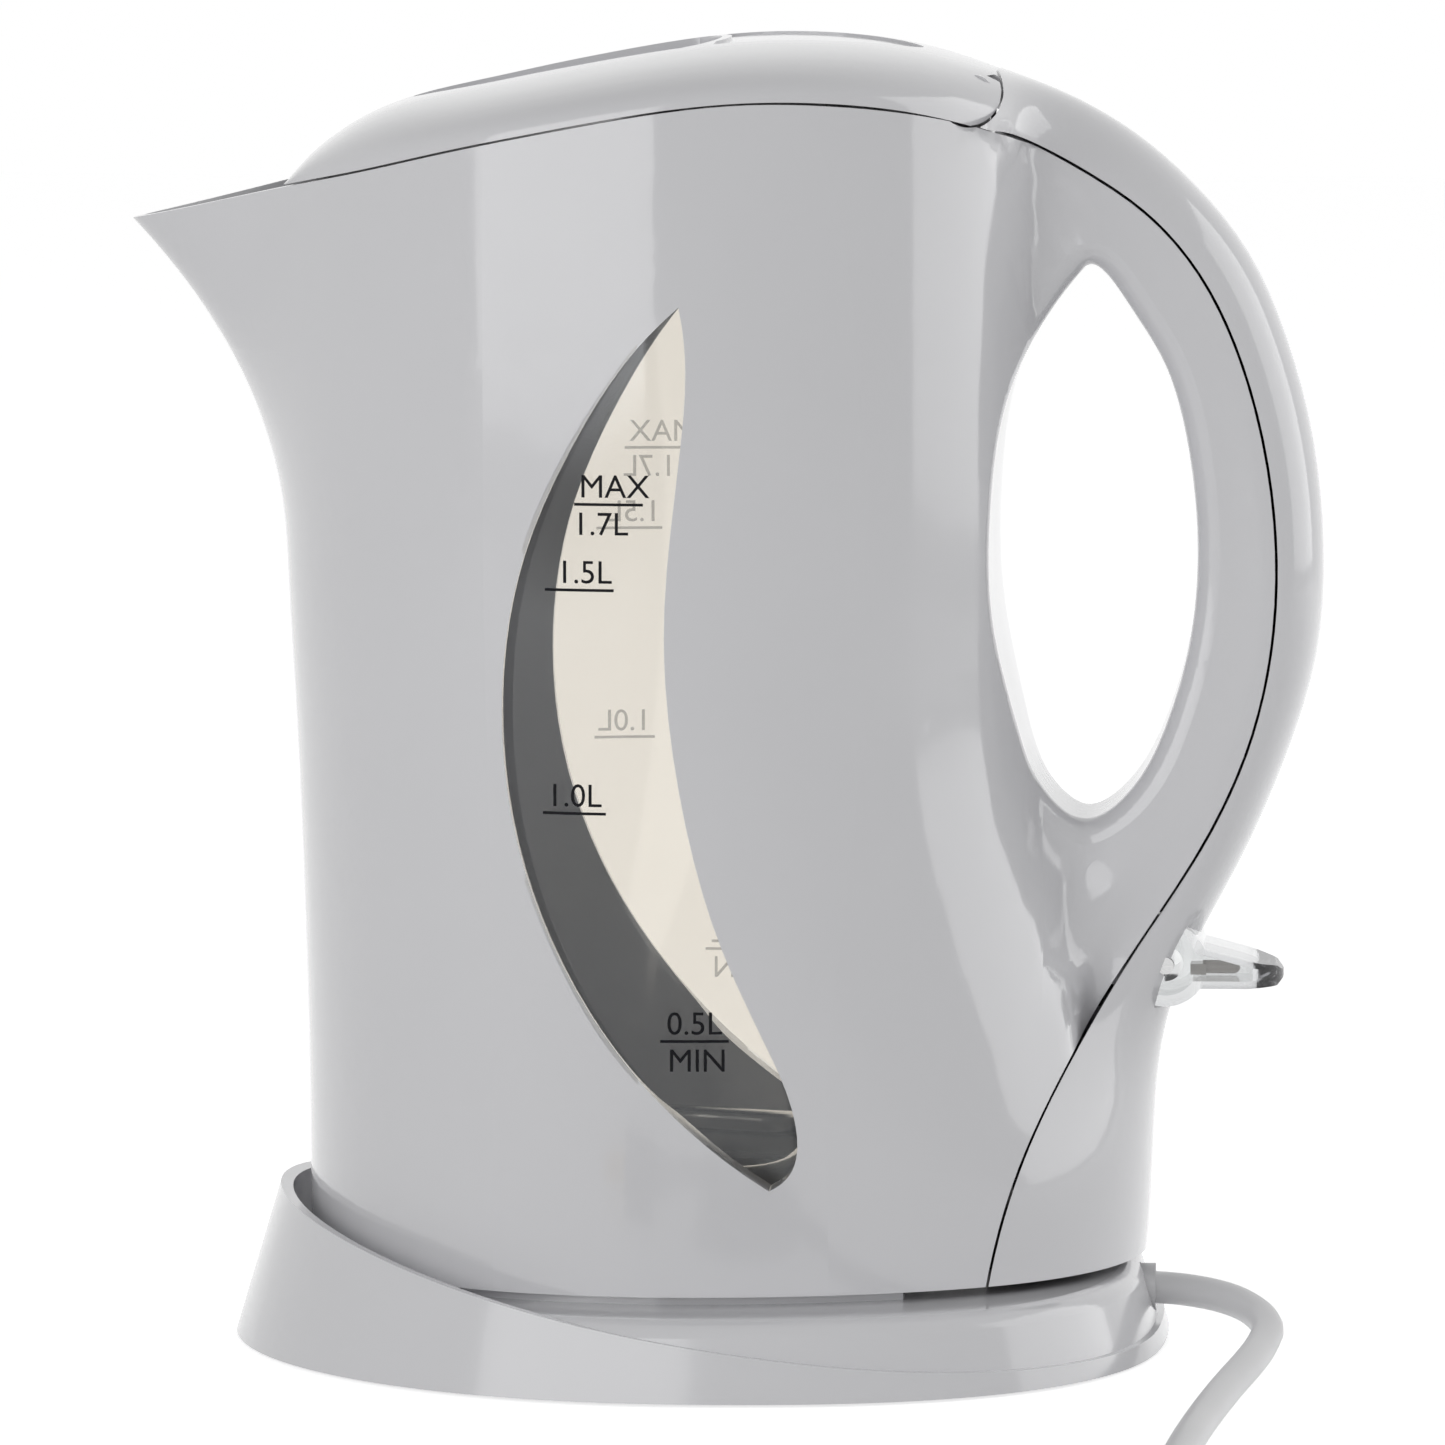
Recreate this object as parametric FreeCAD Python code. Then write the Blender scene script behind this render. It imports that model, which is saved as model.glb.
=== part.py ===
import FreeCAD, Part
import math
import os
from FreeCAD import Vector

# Electric jug kettle on a cordless power base. All lengths are millimetres and all angles degrees.
# X runs from the spout to the handle, Z is up, Y = 0 is the plane of symmetry and Z = 0 the table.
# Heights of the jug, lid and switch pieces count from the jug's bottom edge.

os.makedirs("parts", exist_ok=True)

# Jug shell
jug_half_width = 64.0
jug_centre_x = -10.5
jug_front_reach = 64.3
jug_front_swell = 3.6
jug_swell_height = 119.0
jug_rear_reach = 66.0
jug_tail_reach = 86.5
jug_tail_height = 100.0
jug_roundness = 2.1
jug_wall = 2.6
jug_floor_z = 4.4
jug_floor_thickness = 2.6
vessel_rear_x = 44.5
vessel_roundness = 2.8

# Spout
spout_reach = 28.2
spout_start_z = 119.0
spout_tip_z = 184.4
spout_power = 2.2
spout_spread_tip = 7.1
spout_spread_root = 16.0

# Rim between jug and lid, from the spout to the hinge
rim_line = [(-112.0, 183.2), (-94.0, 187.0), (-77.0, 191.0), (-62.0, 194.5), (-45.0, 198.7),
            (-26.0, 202.7), (-10.0, 205.6), (7.0, 207.3), (20.0, 207.0), (33.0, 205.5)]

# Handle: seam x and z, then crest x and z, from the lid over the top down to the jug's bottom
handle_line = [(44.0, 203.2, 44.6, 212.4), (50.0, 200.8, 52.4, 210.0), (58.0, 196.9, 62.3, 206.0),
               (66.8, 191.9, 72.5, 200.0), (75.7, 185.4, 83.0, 191.0), (84.5, 175.0, 93.0, 178.5),
               (90.8, 162.3, 99.6, 164.0), (95.8, 144.7, 104.6, 145.5), (98.0, 125.2, 106.6, 125.0),
               (97.2, 109.2, 105.5, 107.5), (93.1, 91.4, 100.0, 88.5), (84.8, 73.5, 92.0, 70.0),
               (73.6, 56.0, 83.0, 52.5), (62.8, 38.5, 78.2, 37.0), (54.5, 22.0, 76.8, 21.5),
               (50.0, 8.0, 76.2, 8.0), (48.3, 0.0, 75.6, 0.0)]
handle_half_width = 16.0
handle_blend = 3.0
handle_end_depth = 9.0
handle_seam_gap = 0.5
cover_wall = 2.4

# Finger opening of the handle
opening_line = [(64.0, 176.5), (57.8, 168.4), (51.5, 156.0), (48.2, 136.0), (48.6, 115.0),
                (52.8, 95.8), (58.0, 83.0), (64.5, 78.5), (71.5, 82.5), (78.5, 94.5),
                (83.0, 110.5), (84.3, 125.0), (83.3, 140.0), (79.0, 158.0), (71.5, 170.7)]
opening_round = 4.0

# Water windows: front and rear edge of the crescent
window_front = [(-4.6, 172.5), (-11.9, 165.2), (-23.4, 147.8), (-31.8, 128.5), (-35.6, 104.0),
                (-32.6, 77.9), (-21.6, 52.0), (-8.4, 34.7), (11.0, 18.6)]
window_rear = [(11.0, 18.6), (15.2, 22.5), (15.6, 30.0), (10.8, 43.3), (2.9, 60.9), (-4.3, 87.2),
               (-7.1, 117.6), (-4.3, 147.9), (-3.4, 162.0), (-4.6, 172.5)]

# Lid
lid_front_x = -76.8
lid_height = 9.9
lid_nose_length = 18.8
lid_nose_power = 1.6
lid_roundness = 2.5
lid_wall = 2.2
lid_gap = 0.4
lid_plate_drop = 6.0
lid_plate_wall = 2.0
lid_plate_clearance = 1.6
lid_plate_front_x = -71.0
lid_plate_rear_x = 20.0
hinge_x = 44.8
hinge_z = 207.6
hinge_radius = 4.8
hinge_gap = 0.4
cover_tip_x = 1.8
hinge_pin_radius = 1.25
hinge_pin_length = 12.0
hinge_pin_clearance = 0.06
hinge_ear_radius = 2.7
hinge_ear_width = 4.0
hinge_ear_y = 16.0
hinge_ear_gap = 0.4
hinge_ear_root_z = 192.0
knuckle_radius = 3.4
knuckle_length = 5.0
scoop_rear_x = -1.0
scoop_front_length = 48.0
scoop_rear_length = 7.0
scoop_half_width = 24.0
scoop_depth = 8.0
scoop_wall = 1.8
scoop_undercut = 5.0
scoop_undercut_half_width = 14.0
scoop_undercut_height = 4.0
pad_length = 36.0
pad_step = 0.5
lid_screw_radius = 1.3
lid_post_radius = 3.2

# Element and control behind the vessel wall
element_z = 30.0
element_tube_radius = 4.0
element_loop_z = 15.0
element_loop_margin = 18.0
element_tail_y = 9.0
head_radius = 19.0
head_thickness = 1.8
pad_proud = 1.4
seal_thickness = 1.6
seal_outer_radius = 13.0
neck_radius = 8.7
neck_wall = 1.5
neck_clearance = 0.3
control_depth = 16.0
control_half_width = 14.5
control_bottom_z = 14.0
control_top_z = 50.0
control_gap = 0.2
control_screw_radius = 1.5
control_screw_ring = 15.8
disc_thickness = 0.6
steam_disc_radius = 7.5
steam_ring_height = 4.0

# Connector between jug and base
inlet_x = 59.5
inlet_half_depth = 5.9
inlet_half_width = 14.4
shroud_wall = 1.6
shroud_bottom_z = 1.0
shroud_roof_z = 11.0
pin_radius = 2.0
pin_pitch = 9.0
pin_tip_z = 2.5
socket_clearance = 0.7
socket_roof_gap = 1.0
contact_clearance = 0.3
contact_wall = 0.7
bottom_cover_z = 2.0
bottom_cover_thickness = 2.0
bottom_cover_margin = 3.0
fit_clearance = 0.3
screw_radius = 1.5
screw_head_radius = 2.8
screw_head_height = 1.5
screw_hole_clearance = 0.1

# Steam tube through the hollow handle
steam_tube_radius = 4.5
steam_tube_wall = 1.0
steam_seat_gap = 0.1
steam_seat_depth = 4.0
steam_line = [(47.4, 181.0), (58.0, 184.6), (70.0, 185.4), (82.0, 173.5), (90.5, 155.0), (94.8, 134.0),
              (94.6, 114.0), (90.0, 95.0), (82.0, 79.5), (74.0, 68.5), (66.0, 60.5)]

# Switch lever
lever_z = 52.3
lever_set_back = 4.0
lever_hub_radius = 7.5
lever_hub_wall = 1.8
lever_half_width = 11.5
lever_reach = 21.0
lever_root_height = 8.0
lever_tip_height = 3.6
lever_wall = 1.2
lever_gap = 0.4
lever_cheek = 1.6
lever_arm = 7.0
lever_arm_width = 5.0
pivot_radius = 1.5
pivot_clearance = 0.06
pivot_lug_width = 2.6
pivot_reach = 1.2
pusher_radius = 2.0
pusher_length = 12.0
pusher_gap = 0.3
lamp_radius = 1.2
lamp_length = 5.5

# Power base
base_side_margin = 20.0
base_rear_margin = 4.2
base_front_power = 2.0
base_rear_power = 2.5
base_draft = 0.3
base_wall = 2.4
base_clear_z = 0.6
base_top_z = 14.2
base_top_round = 4.0
skirt_step = 1.2
skirt_rear_height = 3.6
lip_height = 27.6
lip_gap = 3.0
lip_wall = 2.4
jug_gap = 1.8
seat_clearance = 1.0
seat_gap = 0.2
seat_rear_x = 34.0
plate_thickness = 1.6
foot_radius = 8.0
foot_places = [(45.0, 58.5), (45.0, -58.5), (-58.0, 44.0), (-58.0, -44.0)]
base_boss_radius = 3.6
base_boss_places = [(22.0, 62.0), (22.0, -62.0), (-40.0, 56.0), (-40.0, -56.0)]
cord_radius = 2.9
cord_exit_z = 8.5
bush_radius = 4.4
bush_flange = 1.2
clamp_x = 69.6
clamp_width = 5.0
clamp_half_length = 12.5
clamp_screw_y = 8.8

# Mains lead: the free run, then the coil, its tail and the plug
cord_route = [(68.0, 0.0, 8.5), (81.0, 0.0, 8.5), (92.3, -7.0, 7.4), (98.1, -19.0, 5.0),
              (96.6, -32.4, 3.3), (94.2, -50.0, 2.9), (90.8, -74.0, 2.9), (87.2, -104.0, 2.9),
              (84.0, -136.0, 2.9), (82.2, -166.0, 3.3), (81.2, -196.0, 3.9), (81.2, -220.2, 3.9)]
coil_radius = 35.2
coil_pitch = 7.4
coil_layer_step = 6.4
coil_in_turns = 1.0
coil_climb_turns = 0.5
coil_out_turns = 0.75
tie_width = 8.0
tie_wall = 0.6
tie_clearance = 0.3
tail_rise = [(29.5, -259.35, 10.3), (18.0, -260.2, 9.6), (6.0, -261.2, 8.5), (-5.0, -261.2, 8.5)]
plug_height = 16.4
plug_width = 30.0
plug_length = 36.0
plug_edge = 4.0
plug_boot_length = 24.0
plug_boot_radius = 5.6
plug_pin_radius = 2.0
plug_pin_pitch = 9.5
plug_pin_length = 19.0

# Sampling of the smooth shapes
skin_levels = [0.0, 14.0, 32.0, 50.0, 66.0, 82.0, 100.0, 118.0, 134.0, 148.0, 160.0, 171.0, 181.0, 190.0,
               199.0, 209.0]
front_angles = [90, 70, 52, 38, 27, 18, 11, 5, 0, -5, -11, -18, -27, -38, -52, -70, -90]
rear_steps = 14
skin_steps = 24
skin_samples = 480
skin_pieces = 8
skin_bands = 4
far = 150.0

jug_z = base_top_z + jug_gap
vessel_floor_z = jug_floor_z + jug_floor_thickness


# Smooth curves

def through(pairs, t):
    """Value at t of the smooth line through the pairs (t, value)."""
    last = len(pairs) - 2
    i = min(last, sum(1 for p in pairs[1:-1] if p[0] <= t))

    def slope(k):
        a = max(k - 1, 0)
        b = min(k + 1, last + 1)
        return (pairs[b][1] - pairs[a][1]) / (pairs[b][0] - pairs[a][0])

    t0, v0 = pairs[i]
    t1, v1 = pairs[i + 1]
    h = t1 - t0
    u = (t - t0) / h
    v = 1 - u
    start = v0 * (1 + 2 * u) * v * v + slope(i) * h * u * v * v
    return start + v1 * u * u * (1 + 2 * v) - slope(i + 1) * h * u * u * v


def ease(t):
    """Smooth step from 0 to 1."""
    t = min(max(t, 0.0), 1.0)
    return t * t * (3 - 2 * t)


def offset(points, distance):
    """A closed anticlockwise outline moved inwards by distance."""
    moved = []
    count = len(points)
    for i in range(count):
        ax, ay = points[i - 1]
        bx, by = points[(i + 1) % count]
        k = distance / math.hypot(bx - ax, by - ay)
        moved.append((points[i][0] - (by - ay) * k, points[i][1] + (bx - ax) * k))
    return moved


def spacing(points):
    """Curve parameters of a closed outline, shared by all sections of one loft."""
    t = [0.0]
    for i in range(len(points)):
        ax, ay = points[i]
        bx, by = points[(i + 1) % len(points)]
        t.append(t[-1] + math.sqrt(math.hypot(bx - ax, by - ay)))
    return [v / t[-1] for v in t]


def plan_wire(points, z, parameters):
    """Closed smooth outline at height z."""
    curve = Part.BSplineCurve()
    curve.interpolate(Points=[Vector(x, y, z) for x, y in points], PeriodicFlag=True, Parameters=parameters)
    return Part.Wire([curve.toShape()])


def patchwork(wires, low, high):
    """Solid through plan outlines from the height low to high, its side split into patches."""
    side = max(Part.makeLoft(wires, True, False).Faces, key=lambda face: face.BoundBox.ZLength)
    surface = side.Surface
    surface.setUNotPeriodic()
    u0, u1, v0, v1 = surface.bounds()
    patches = []
    for i in range(skin_pieces):
        for k in range(skin_bands):
            patch = surface.copy()
            patch.segment(u0 + (u1 - u0) * i / skin_pieces, u0 + (u1 - u0) * (i + 1) / skin_pieces,
                          v0 + (v1 - v0) * k / skin_bands, v0 + (v1 - v0) * (k + 1) / skin_bands)
            patches.append(patch.toShape())
    caps = []
    for z in (low, high):
        edges = [edge for patch in patches for edge in patch.Edges
                 if abs(edge.BoundBox.ZMin - z) < 1e-3 and abs(edge.BoundBox.ZMax - z) < 1e-3]
        caps.append(Part.Face(Part.Wire(Part.__sortEdges__(edges))))
    shell = Part.makeShell(patches + caps)
    shell.sewShape()
    return Part.makeSolid(shell)


def side_edge(points, y=0.0):
    curve = Part.BSplineCurve()
    curve.interpolate(Points=[Vector(x, y, z) for x, z in points])
    return curve.toShape()


def side_prism(edges, half_depth):
    """Solid of a closed side-view outline, drawn at Y = 0, reaching half_depth to both sides."""
    face = Part.Face(Part.Wire(edges))
    solid = face.extrude(Vector(0, 2 * half_depth, 0))
    solid.translate(Vector(0, -half_depth, 0))
    return solid


def polygon(points):
    """Edges of a closed side-view polygon."""
    corners = [Vector(x, 0, z) for x, z in points]
    return [Part.makeLine(a, b) for a, b in zip(corners, corners[1:] + corners[:1])]


def box(x0, x1, y0, y1, z0, z1):
    return Part.makeBox(x1 - x0, y1 - y0, z1 - z0, Vector(x0, y0, z0))


def rod(radius, start, end):
    start = Vector(*start)
    axis = Vector(*end) - start
    return Part.makeCylinder(radius, axis.Length, start, axis)


def tube(radius, inner_radius, start, end):
    return rod(radius, start, end).cut(rod(inner_radius, start, end))


def screw(start, end, radius, head_radius, head_height):
    """Pan-head screw: start is under its head, end its tip."""
    start = Vector(*start)
    axis = (Vector(*end) - start).normalize()
    return rod(radius, start, end).fuse(rod(head_radius, start, start - axis * head_height)).removeSplitter()


def fuse(shapes):
    return shapes[0].multiFuse(shapes[1:]).removeSplitter()


# Paths of round wires and tubes

def corner_arc(before, corner, after, reach):
    """Tangent arc that rounds a corner, its ends a reach before and after it."""
    start = corner + (before - corner).normalize() * reach
    end = corner + (after - corner).normalize() * reach
    middle = (start + end) * 0.5
    half = start.distanceToPoint(end) / 2
    height = corner.distanceToPoint(middle)
    sagitta = half * math.tan(math.atan2(height, half) / 2)
    return start, end, Part.Arc(start, middle + (corner - middle).normalize() * sagitta, end)


def rounded_path(points):
    """Straight runs joined by tangent arcs as large as the runs allow, and the arcs' radii."""
    points = [Vector(*p) for p in points]
    edges = []
    radii = []
    last = points[0]
    for before, corner, after in zip(points, points[1:], points[2:]):
        reach = 0.45 * min(corner.distanceToPoint(before), corner.distanceToPoint(after))
        start, end, arc = corner_arc(before, corner, after, reach)
        edges.append(Part.LineSegment(last, start).toShape())
        edges.append(arc.toShape())
        radii.append(arc.toShape().Curve.Radius)
        last = end
    edges.append(Part.LineSegment(last, points[-1]).toShape())
    return Part.Wire(edges), radii


def biarc(p0, t0, p1, t1):
    """Two tangent arcs from p0 along t0 to p1 along t1."""
    v = p1 - p0
    t = t0 + t1
    k = 2 * (1 - t0.dot(t1))
    reach = (math.sqrt(v.dot(t) ** 2 + k * v.dot(v)) - v.dot(t)) / k
    joint = (p0 + t0 * reach + p1 - t1 * reach) * 0.5
    first = corner_arc(p0, p0 + t0 * reach, joint, reach)[2]
    second = corner_arc(joint, p1 - t1 * reach, p1, reach)[2]
    return [first.toShape(), second.toShape()]


def pipe(path, radius):
    """Round bar along a path."""
    edge = path.Edges[0]
    start = edge.valueAt(edge.FirstParameter)
    section = Part.Wire([Part.makeCircle(radius, start, edge.tangentAt(edge.FirstParameter))])
    return path.makePipeShell([section], True, False)


# Jug outline

crest_by_height = sorted((z, x) for _, _, x, z in handle_line)


def crest_x(z):
    """Rear silhouette of the handle at height z."""
    return through(crest_by_height, z)


def rim_z(x):
    """Height of the joint between jug and lid."""
    return through(rim_line + [(s[0], s[1]) for s in handle_line[1:3]], x)


def front_point(angle, z):
    """Point of the jug's front half: an ellipse with a beak that grows towards the spout's tip."""
    grow = min(z / jug_swell_height, 1.0)
    rise = max((z - spout_start_z) / (spout_tip_z - spout_start_z), 0.0)
    spread = spout_spread_root + (spout_spread_tip - spout_spread_root) * min(rise, 1.0)
    beak = spout_reach * rise ** spout_power / math.cosh(angle / spread)
    reach = jug_front_reach + jug_front_swell * grow ** 2
    a = math.radians(angle)
    return jug_centre_x - (reach + beak) * math.cos(a), (jug_half_width + beak) * math.sin(a)


def rear_width(x, z):
    """Half width of the rear half: the round body blended with the flat fin of the handle."""
    reach = jug_tail_reach + (jug_rear_reach - jug_tail_reach) * ease(z / jug_tail_height)
    s = min((x - jug_centre_x) / reach, 1.0)
    body = jug_half_width * (1 - s ** jug_roundness) ** (1 / jug_roundness)
    t = max((x - crest_x(z)) / handle_end_depth + 1, 0.0)
    fin = handle_half_width * ease((x - jug_centre_x) / jug_rear_reach) * math.sqrt(max(1 - t * t, 0.0))
    return (body ** handle_blend + fin ** handle_blend) ** (1 / handle_blend)


def half_width(x, z):
    """Half width of the jug's outside at x and z."""
    if x >= jug_centre_x:
        return rear_width(x, z)
    low = 0.0
    high = 90.0
    for _ in range(40):
        middle = (low + high) / 2
        if front_point(middle, z)[0] < x:
            low = middle
        else:
            high = middle
    return front_point(low, z)[1]


def rear_side(z):
    """One side of the jug's rear half at height z, from the crest forwards, in even steps along its outline."""
    length = crest_x(z) - jug_centre_x
    fine = [(jug_centre_x + length, 0.0)]
    run = [0.0]
    for i in range(1, skin_samples + 1):
        x = jug_centre_x + length * math.sin(math.pi / 2 * (1 - i / skin_samples))
        fine.append((x, rear_width(x, z)))
        run.append(run[-1] + math.dist(fine[-2], fine[-1]))
    side = [fine[0]]
    k = 1
    for i in range(1, skin_steps):
        goal = run[-1] * i / skin_steps
        while run[k] < goal:
            k += 1
        u = (goal - run[k - 1]) / (run[k] - run[k - 1])
        side.append(tuple(a + (b - a) * u for a, b in zip(fine[k - 1], fine[k])))
    return side


def skin_points(z, inset):
    """Outline of the jug's outside at height z, with the handle's fin, moved inwards by inset."""
    side = rear_side(z)
    front = [front_point(angle, z) for angle in front_angles]
    return offset(side + front + [(x, -y) for x, y in side[:0:-1]], inset)


def vessel_points(z, inset):
    """Outline of the water vessel: the jug's front and sides, closed by a rear wall."""
    wide = jug_half_width - inset
    length = vessel_rear_x + jug_wall - inset - jug_centre_x
    side = [(jug_centre_x + length, 0.0)]
    for i in range(1, rear_steps):
        s = math.sin(math.pi / 2 * (1 - i / rear_steps))
        x = jug_centre_x + length * s
        plain = wide * (1 - s ** vessel_roundness) ** (1 / vessel_roundness)
        skin = rear_width(x, z) - 1.3 * inset
        side.append((x, (plain ** -8 + skin ** -8) ** (-1 / 8) if inset else plain))
    front = offset([front_point(angle, z) for angle in [100] + front_angles + [-100]], inset)[1:-1]
    return side + front + [(x, -y) for x, y in side[:0:-1]]


skin_spacing = spacing(skin_points(spout_start_z, 0.0))
vessel_spacing = spacing(vessel_points(spout_start_z, jug_wall))


def skin_solid(inset):
    wires = [plan_wire(skin_points(z, inset), z, skin_spacing) for z in skin_levels]
    return patchwork(wires, skin_levels[0], skin_levels[-1])


def vessel_solid(inset, floor):
    levels = [floor] + [z for z in skin_levels if z > floor + 4]
    wires = [plan_wire(vessel_points(z, inset), z, vessel_spacing) for z in levels]
    return patchwork(wires, levels[0], levels[-1])


def opening_prism(grow):
    """The finger opening, its outline grown by grow."""
    outline = offset(opening_line, -grow)
    curve = Part.BSplineCurve()
    curve.interpolate(Points=[Vector(x, 0, z) for x, z in outline], PeriodicFlag=True)
    return side_prism([curve.toShape()], far)


def below_rim(drop):
    """Everything in front of the handle seam and below the rim, lowered by drop."""
    line = [(x, z - drop) for x, z in rim_line] + [(s[0], s[1] - drop) for s in handle_line[1:]]
    line.append((handle_line[-1][0] - 0.7, -4.0 - drop))
    seam = side_edge(line)
    start = Vector(line[0][0], 0, line[0][1])
    end = Vector(line[-1][0], 0, line[-1][1])
    low = Vector(-far, 0, end.z)
    high = Vector(-far, 0, start.z)
    sides = [Part.makeLine(end, low), Part.makeLine(low, high), Part.makeLine(high, start)]
    return side_prism([seam] + sides, far)


def window_prism(side):
    """Cutter of one water window, on the side -1 or 1 of Y."""
    face = Part.Face(Part.Wire([side_edge(window_front), side_edge(window_rear)]))
    solid = face.extrude(Vector(0, side * far, 0))
    solid.translate(Vector(0, side * jug_half_width / 2, 0))
    return solid


def hinge_rod(radius, y0, y1):
    return rod(radius, (hinge_x, y0, hinge_z), (hinge_x, y1, hinge_z))


skin = skin_solid(0.0)
skin_inside = skin_solid(jug_wall)
vessel = vessel_solid(jug_wall, vessel_floor_z)
hollow_top_z = hinge_z - hinge_radius - hinge_gap - jug_wall
pad_x = vessel_rear_x - pad_proud
wall_rear_x = vessel_rear_x + jug_wall
control_x = wall_rear_x + control_gap
screw_angles = [90, 210, 330]


def around_head(angle):
    """Place of a control screw round the element head, as y and z."""
    a = math.radians(angle)
    return control_screw_ring * math.cos(a), element_z + control_screw_ring * math.sin(a)


# Jug pieces, lifted from the jug's bottom edge to the base by put

nodes = {}


def put(name, shape, lift=jug_z):
    shape = shape.copy()
    shape.translate(Vector(0, 0, lift))
    nodes[name] = shape


def fillet_opening(body):
    """Round both edges of the finger opening."""
    outline = opening_prism(0.0).Faces[0]
    edges = []
    for edge in body.Edges:
        span = edge.LastParameter - edge.FirstParameter
        points = [edge.valueAt(edge.FirstParameter + span * share) for share in (0.3, 0.5, 0.7)]
        near = all(outline.distToShape(Part.Vertex(p))[0] < 0.02 for p in points)
        if near and abs(points[0].y - points[2].y) < 0.8 * points[0].distanceToPoint(points[2]):
            edges.append(edge)
    return body.makeFillet(opening_round, edges)


def hinge_ear(side):
    """Upright ear on the vessel's rear wall that carries one hinge pin."""
    y = side * hinge_ear_y - hinge_ear_width / 2
    stem = box(hinge_x - hinge_ear_radius, hinge_x + hinge_ear_radius, y, y + hinge_ear_width,
               hinge_ear_root_z, hinge_z)
    return stem.fuse(hinge_rod(hinge_ear_radius, y, y + hinge_ear_width)).removeSplitter()


def jug_body():
    body = skin.common(below_rim(0.0))
    body = fillet_opening(body.cut(opening_prism(0.0)))
    hollow = skin_inside.cut(vessel_solid(0.0, -2.0)).cut(opening_prism(jug_wall))
    hollow = hollow.common(box(vessel_rear_x, far, -far, far, -1.0, hollow_top_z))
    under = skin_inside.common(box(-far, far, -far, far, -1.0, jug_floor_z))
    body = body.cut(vessel).cut(hollow).cut(under)
    body = body.cut(window_prism(-1)).cut(window_prism(1))
    body = body.cut(hinge_rod(hinge_radius + hinge_gap, -far, far))
    body = body.fuse(rod(head_radius + 1.0, (pad_x, 0, element_z), (wall_rear_x, 0, element_z)))
    for side in (-1, 1):
        body = body.fuse(hinge_ear(side))
    tools = [rod(neck_radius + neck_clearance, (0, 0, element_z), (wall_rear_x + 1, 0, element_z))]
    tools.append(hinge_rod(hinge_pin_radius, -far, far))
    for angle in screw_angles:
        y, z = around_head(angle)
        hole = control_screw_radius + screw_hole_clearance
        tools.append(rod(hole, (pad_x - 1, y, z), (wall_rear_x + 1, y, z)))
    port = steam_line[0]
    bore = steam_tube_radius - steam_tube_wall
    tools.append(rod(bore, (vessel_rear_x - 5, 0, port[1]), (port[0] + 1, 0, port[1])))
    lead_in = Vector(steam_line[1][0] - port[0], 0, steam_line[1][1] - port[1]).normalize()
    seat = Vector(port[0], 0, port[1]) - lead_in * steam_seat_gap
    tools.append(rod(steam_tube_radius + steam_seat_gap, seat, seat + lead_in * steam_seat_depth))
    for tool in tools:
        body = body.cut(tool)
    return body


def water_window(side):
    return skin.common(window_prism(side)).cut(vessel)


def cover_section(station, inset, start_gap):
    """Half-open cap across the handle at one station: its outline meets the jug's side without a crease."""
    seam = Vector(station[0], 0, station[1])
    crest = Vector(station[2], 0, station[3])
    depth = crest.distanceToPoint(seam)
    along = (crest - seam).normalize()
    wide = half_width(seam.x, seam.z)
    back = seam - along
    fall = max(half_width(back.x, back.z) - wide, 0.0) * depth / wide
    fall = min(fall, 0.45)
    lead = fall / (1 - 2 * fall)
    points = []
    count = 6
    first = start_gap / depth
    for i in range(-count, count + 1):
        s = first + (1 - first) * math.cos(math.pi / 2 * i / count)
        share = (1 - ((s + lead) / (1 + lead)) ** 2) / (1 - (lead / (1 + lead)) ** 2)
        y = (wide - inset) * math.sqrt(max(share, 0.0)) * (1 if i > 0 else -1)
        points.append(seam + along * (s * (depth - inset)) + Vector(0, y if i else 0.0, 0))
    arch = Part.BSplineCurve()
    arch.interpolate(Points=points, Parameters=[k / (2 * count) for k in range(2 * count + 1)])
    return Part.Wire([arch.toShape(), Part.makeLine(points[-1], points[0])])


def cover_solid(inset, start_gap):
    return Part.makeLoft([cover_section(s, inset, start_gap) for s in handle_line], True, False)


lever_x = crest_x(lever_z) - lever_set_back
cover_boss_x = inlet_x + inlet_half_depth + shroud_wall - 1.0
cover_boss_y = half_width(cover_boss_x, jug_floor_z) - cover_wall - 9.0


def pivot_rod(radius, y0, y1):
    return rod(radius, (lever_x, y0, lever_z), (lever_x, y1, lever_z))


def handle_cover():
    filled = cover_solid(0.0, handle_seam_gap)
    cover = filled.cut(cover_solid(cover_wall, -1.0))
    lugs = []
    bosses = []
    for side in (-1, 1):
        y0 = side * (lever_half_width + lever_gap)
        y1 = side * (lever_half_width + lever_gap + pivot_lug_width)
        lugs.append(box(lever_x - 3.2, lever_x + 8, min(y0, y1), max(y0, y1), lever_z - 3.2, lever_z + 3.2))
        z0 = bottom_cover_z + bottom_cover_thickness
        y = side * cover_boss_y
        boss = rod(screw_radius + 2.0, (cover_boss_x, y, z0), (cover_boss_x, y, z0 + 11))
        web = box(cover_boss_x - 1.2, cover_boss_x + 1.2, min(y, y + side * 12), max(y, y + side * 12),
                  z0, z0 + 11)
        bosses.append(boss.fuse(web))
    cover = fuse([cover] + [piece.common(filled) for piece in lugs + bosses])
    slot_width = lever_half_width + lever_gap
    slot = pivot_rod(lever_hub_radius + lever_gap, -slot_width, slot_width)
    bore_end = slot_width + pivot_reach + pivot_clearance
    cover = cover.cut(slot).cut(pivot_rod(pivot_radius, -bore_end, bore_end))
    for side in (-1, 1):
        y = side * cover_boss_y
        hole = rod(screw_radius + screw_hole_clearance / 2, (cover_boss_x, y, 0),
                   (cover_boss_x, y, bottom_cover_z + 12))
        cover = cover.cut(hole)
    front = box(-far, hinge_x + cover_tip_x, -far, far, hinge_z - 2 * hinge_radius, hinge_z + 2 * hinge_radius)
    return cover.cut(hinge_rod(hinge_radius + hinge_gap, -far, far)).cut(front)


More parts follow.
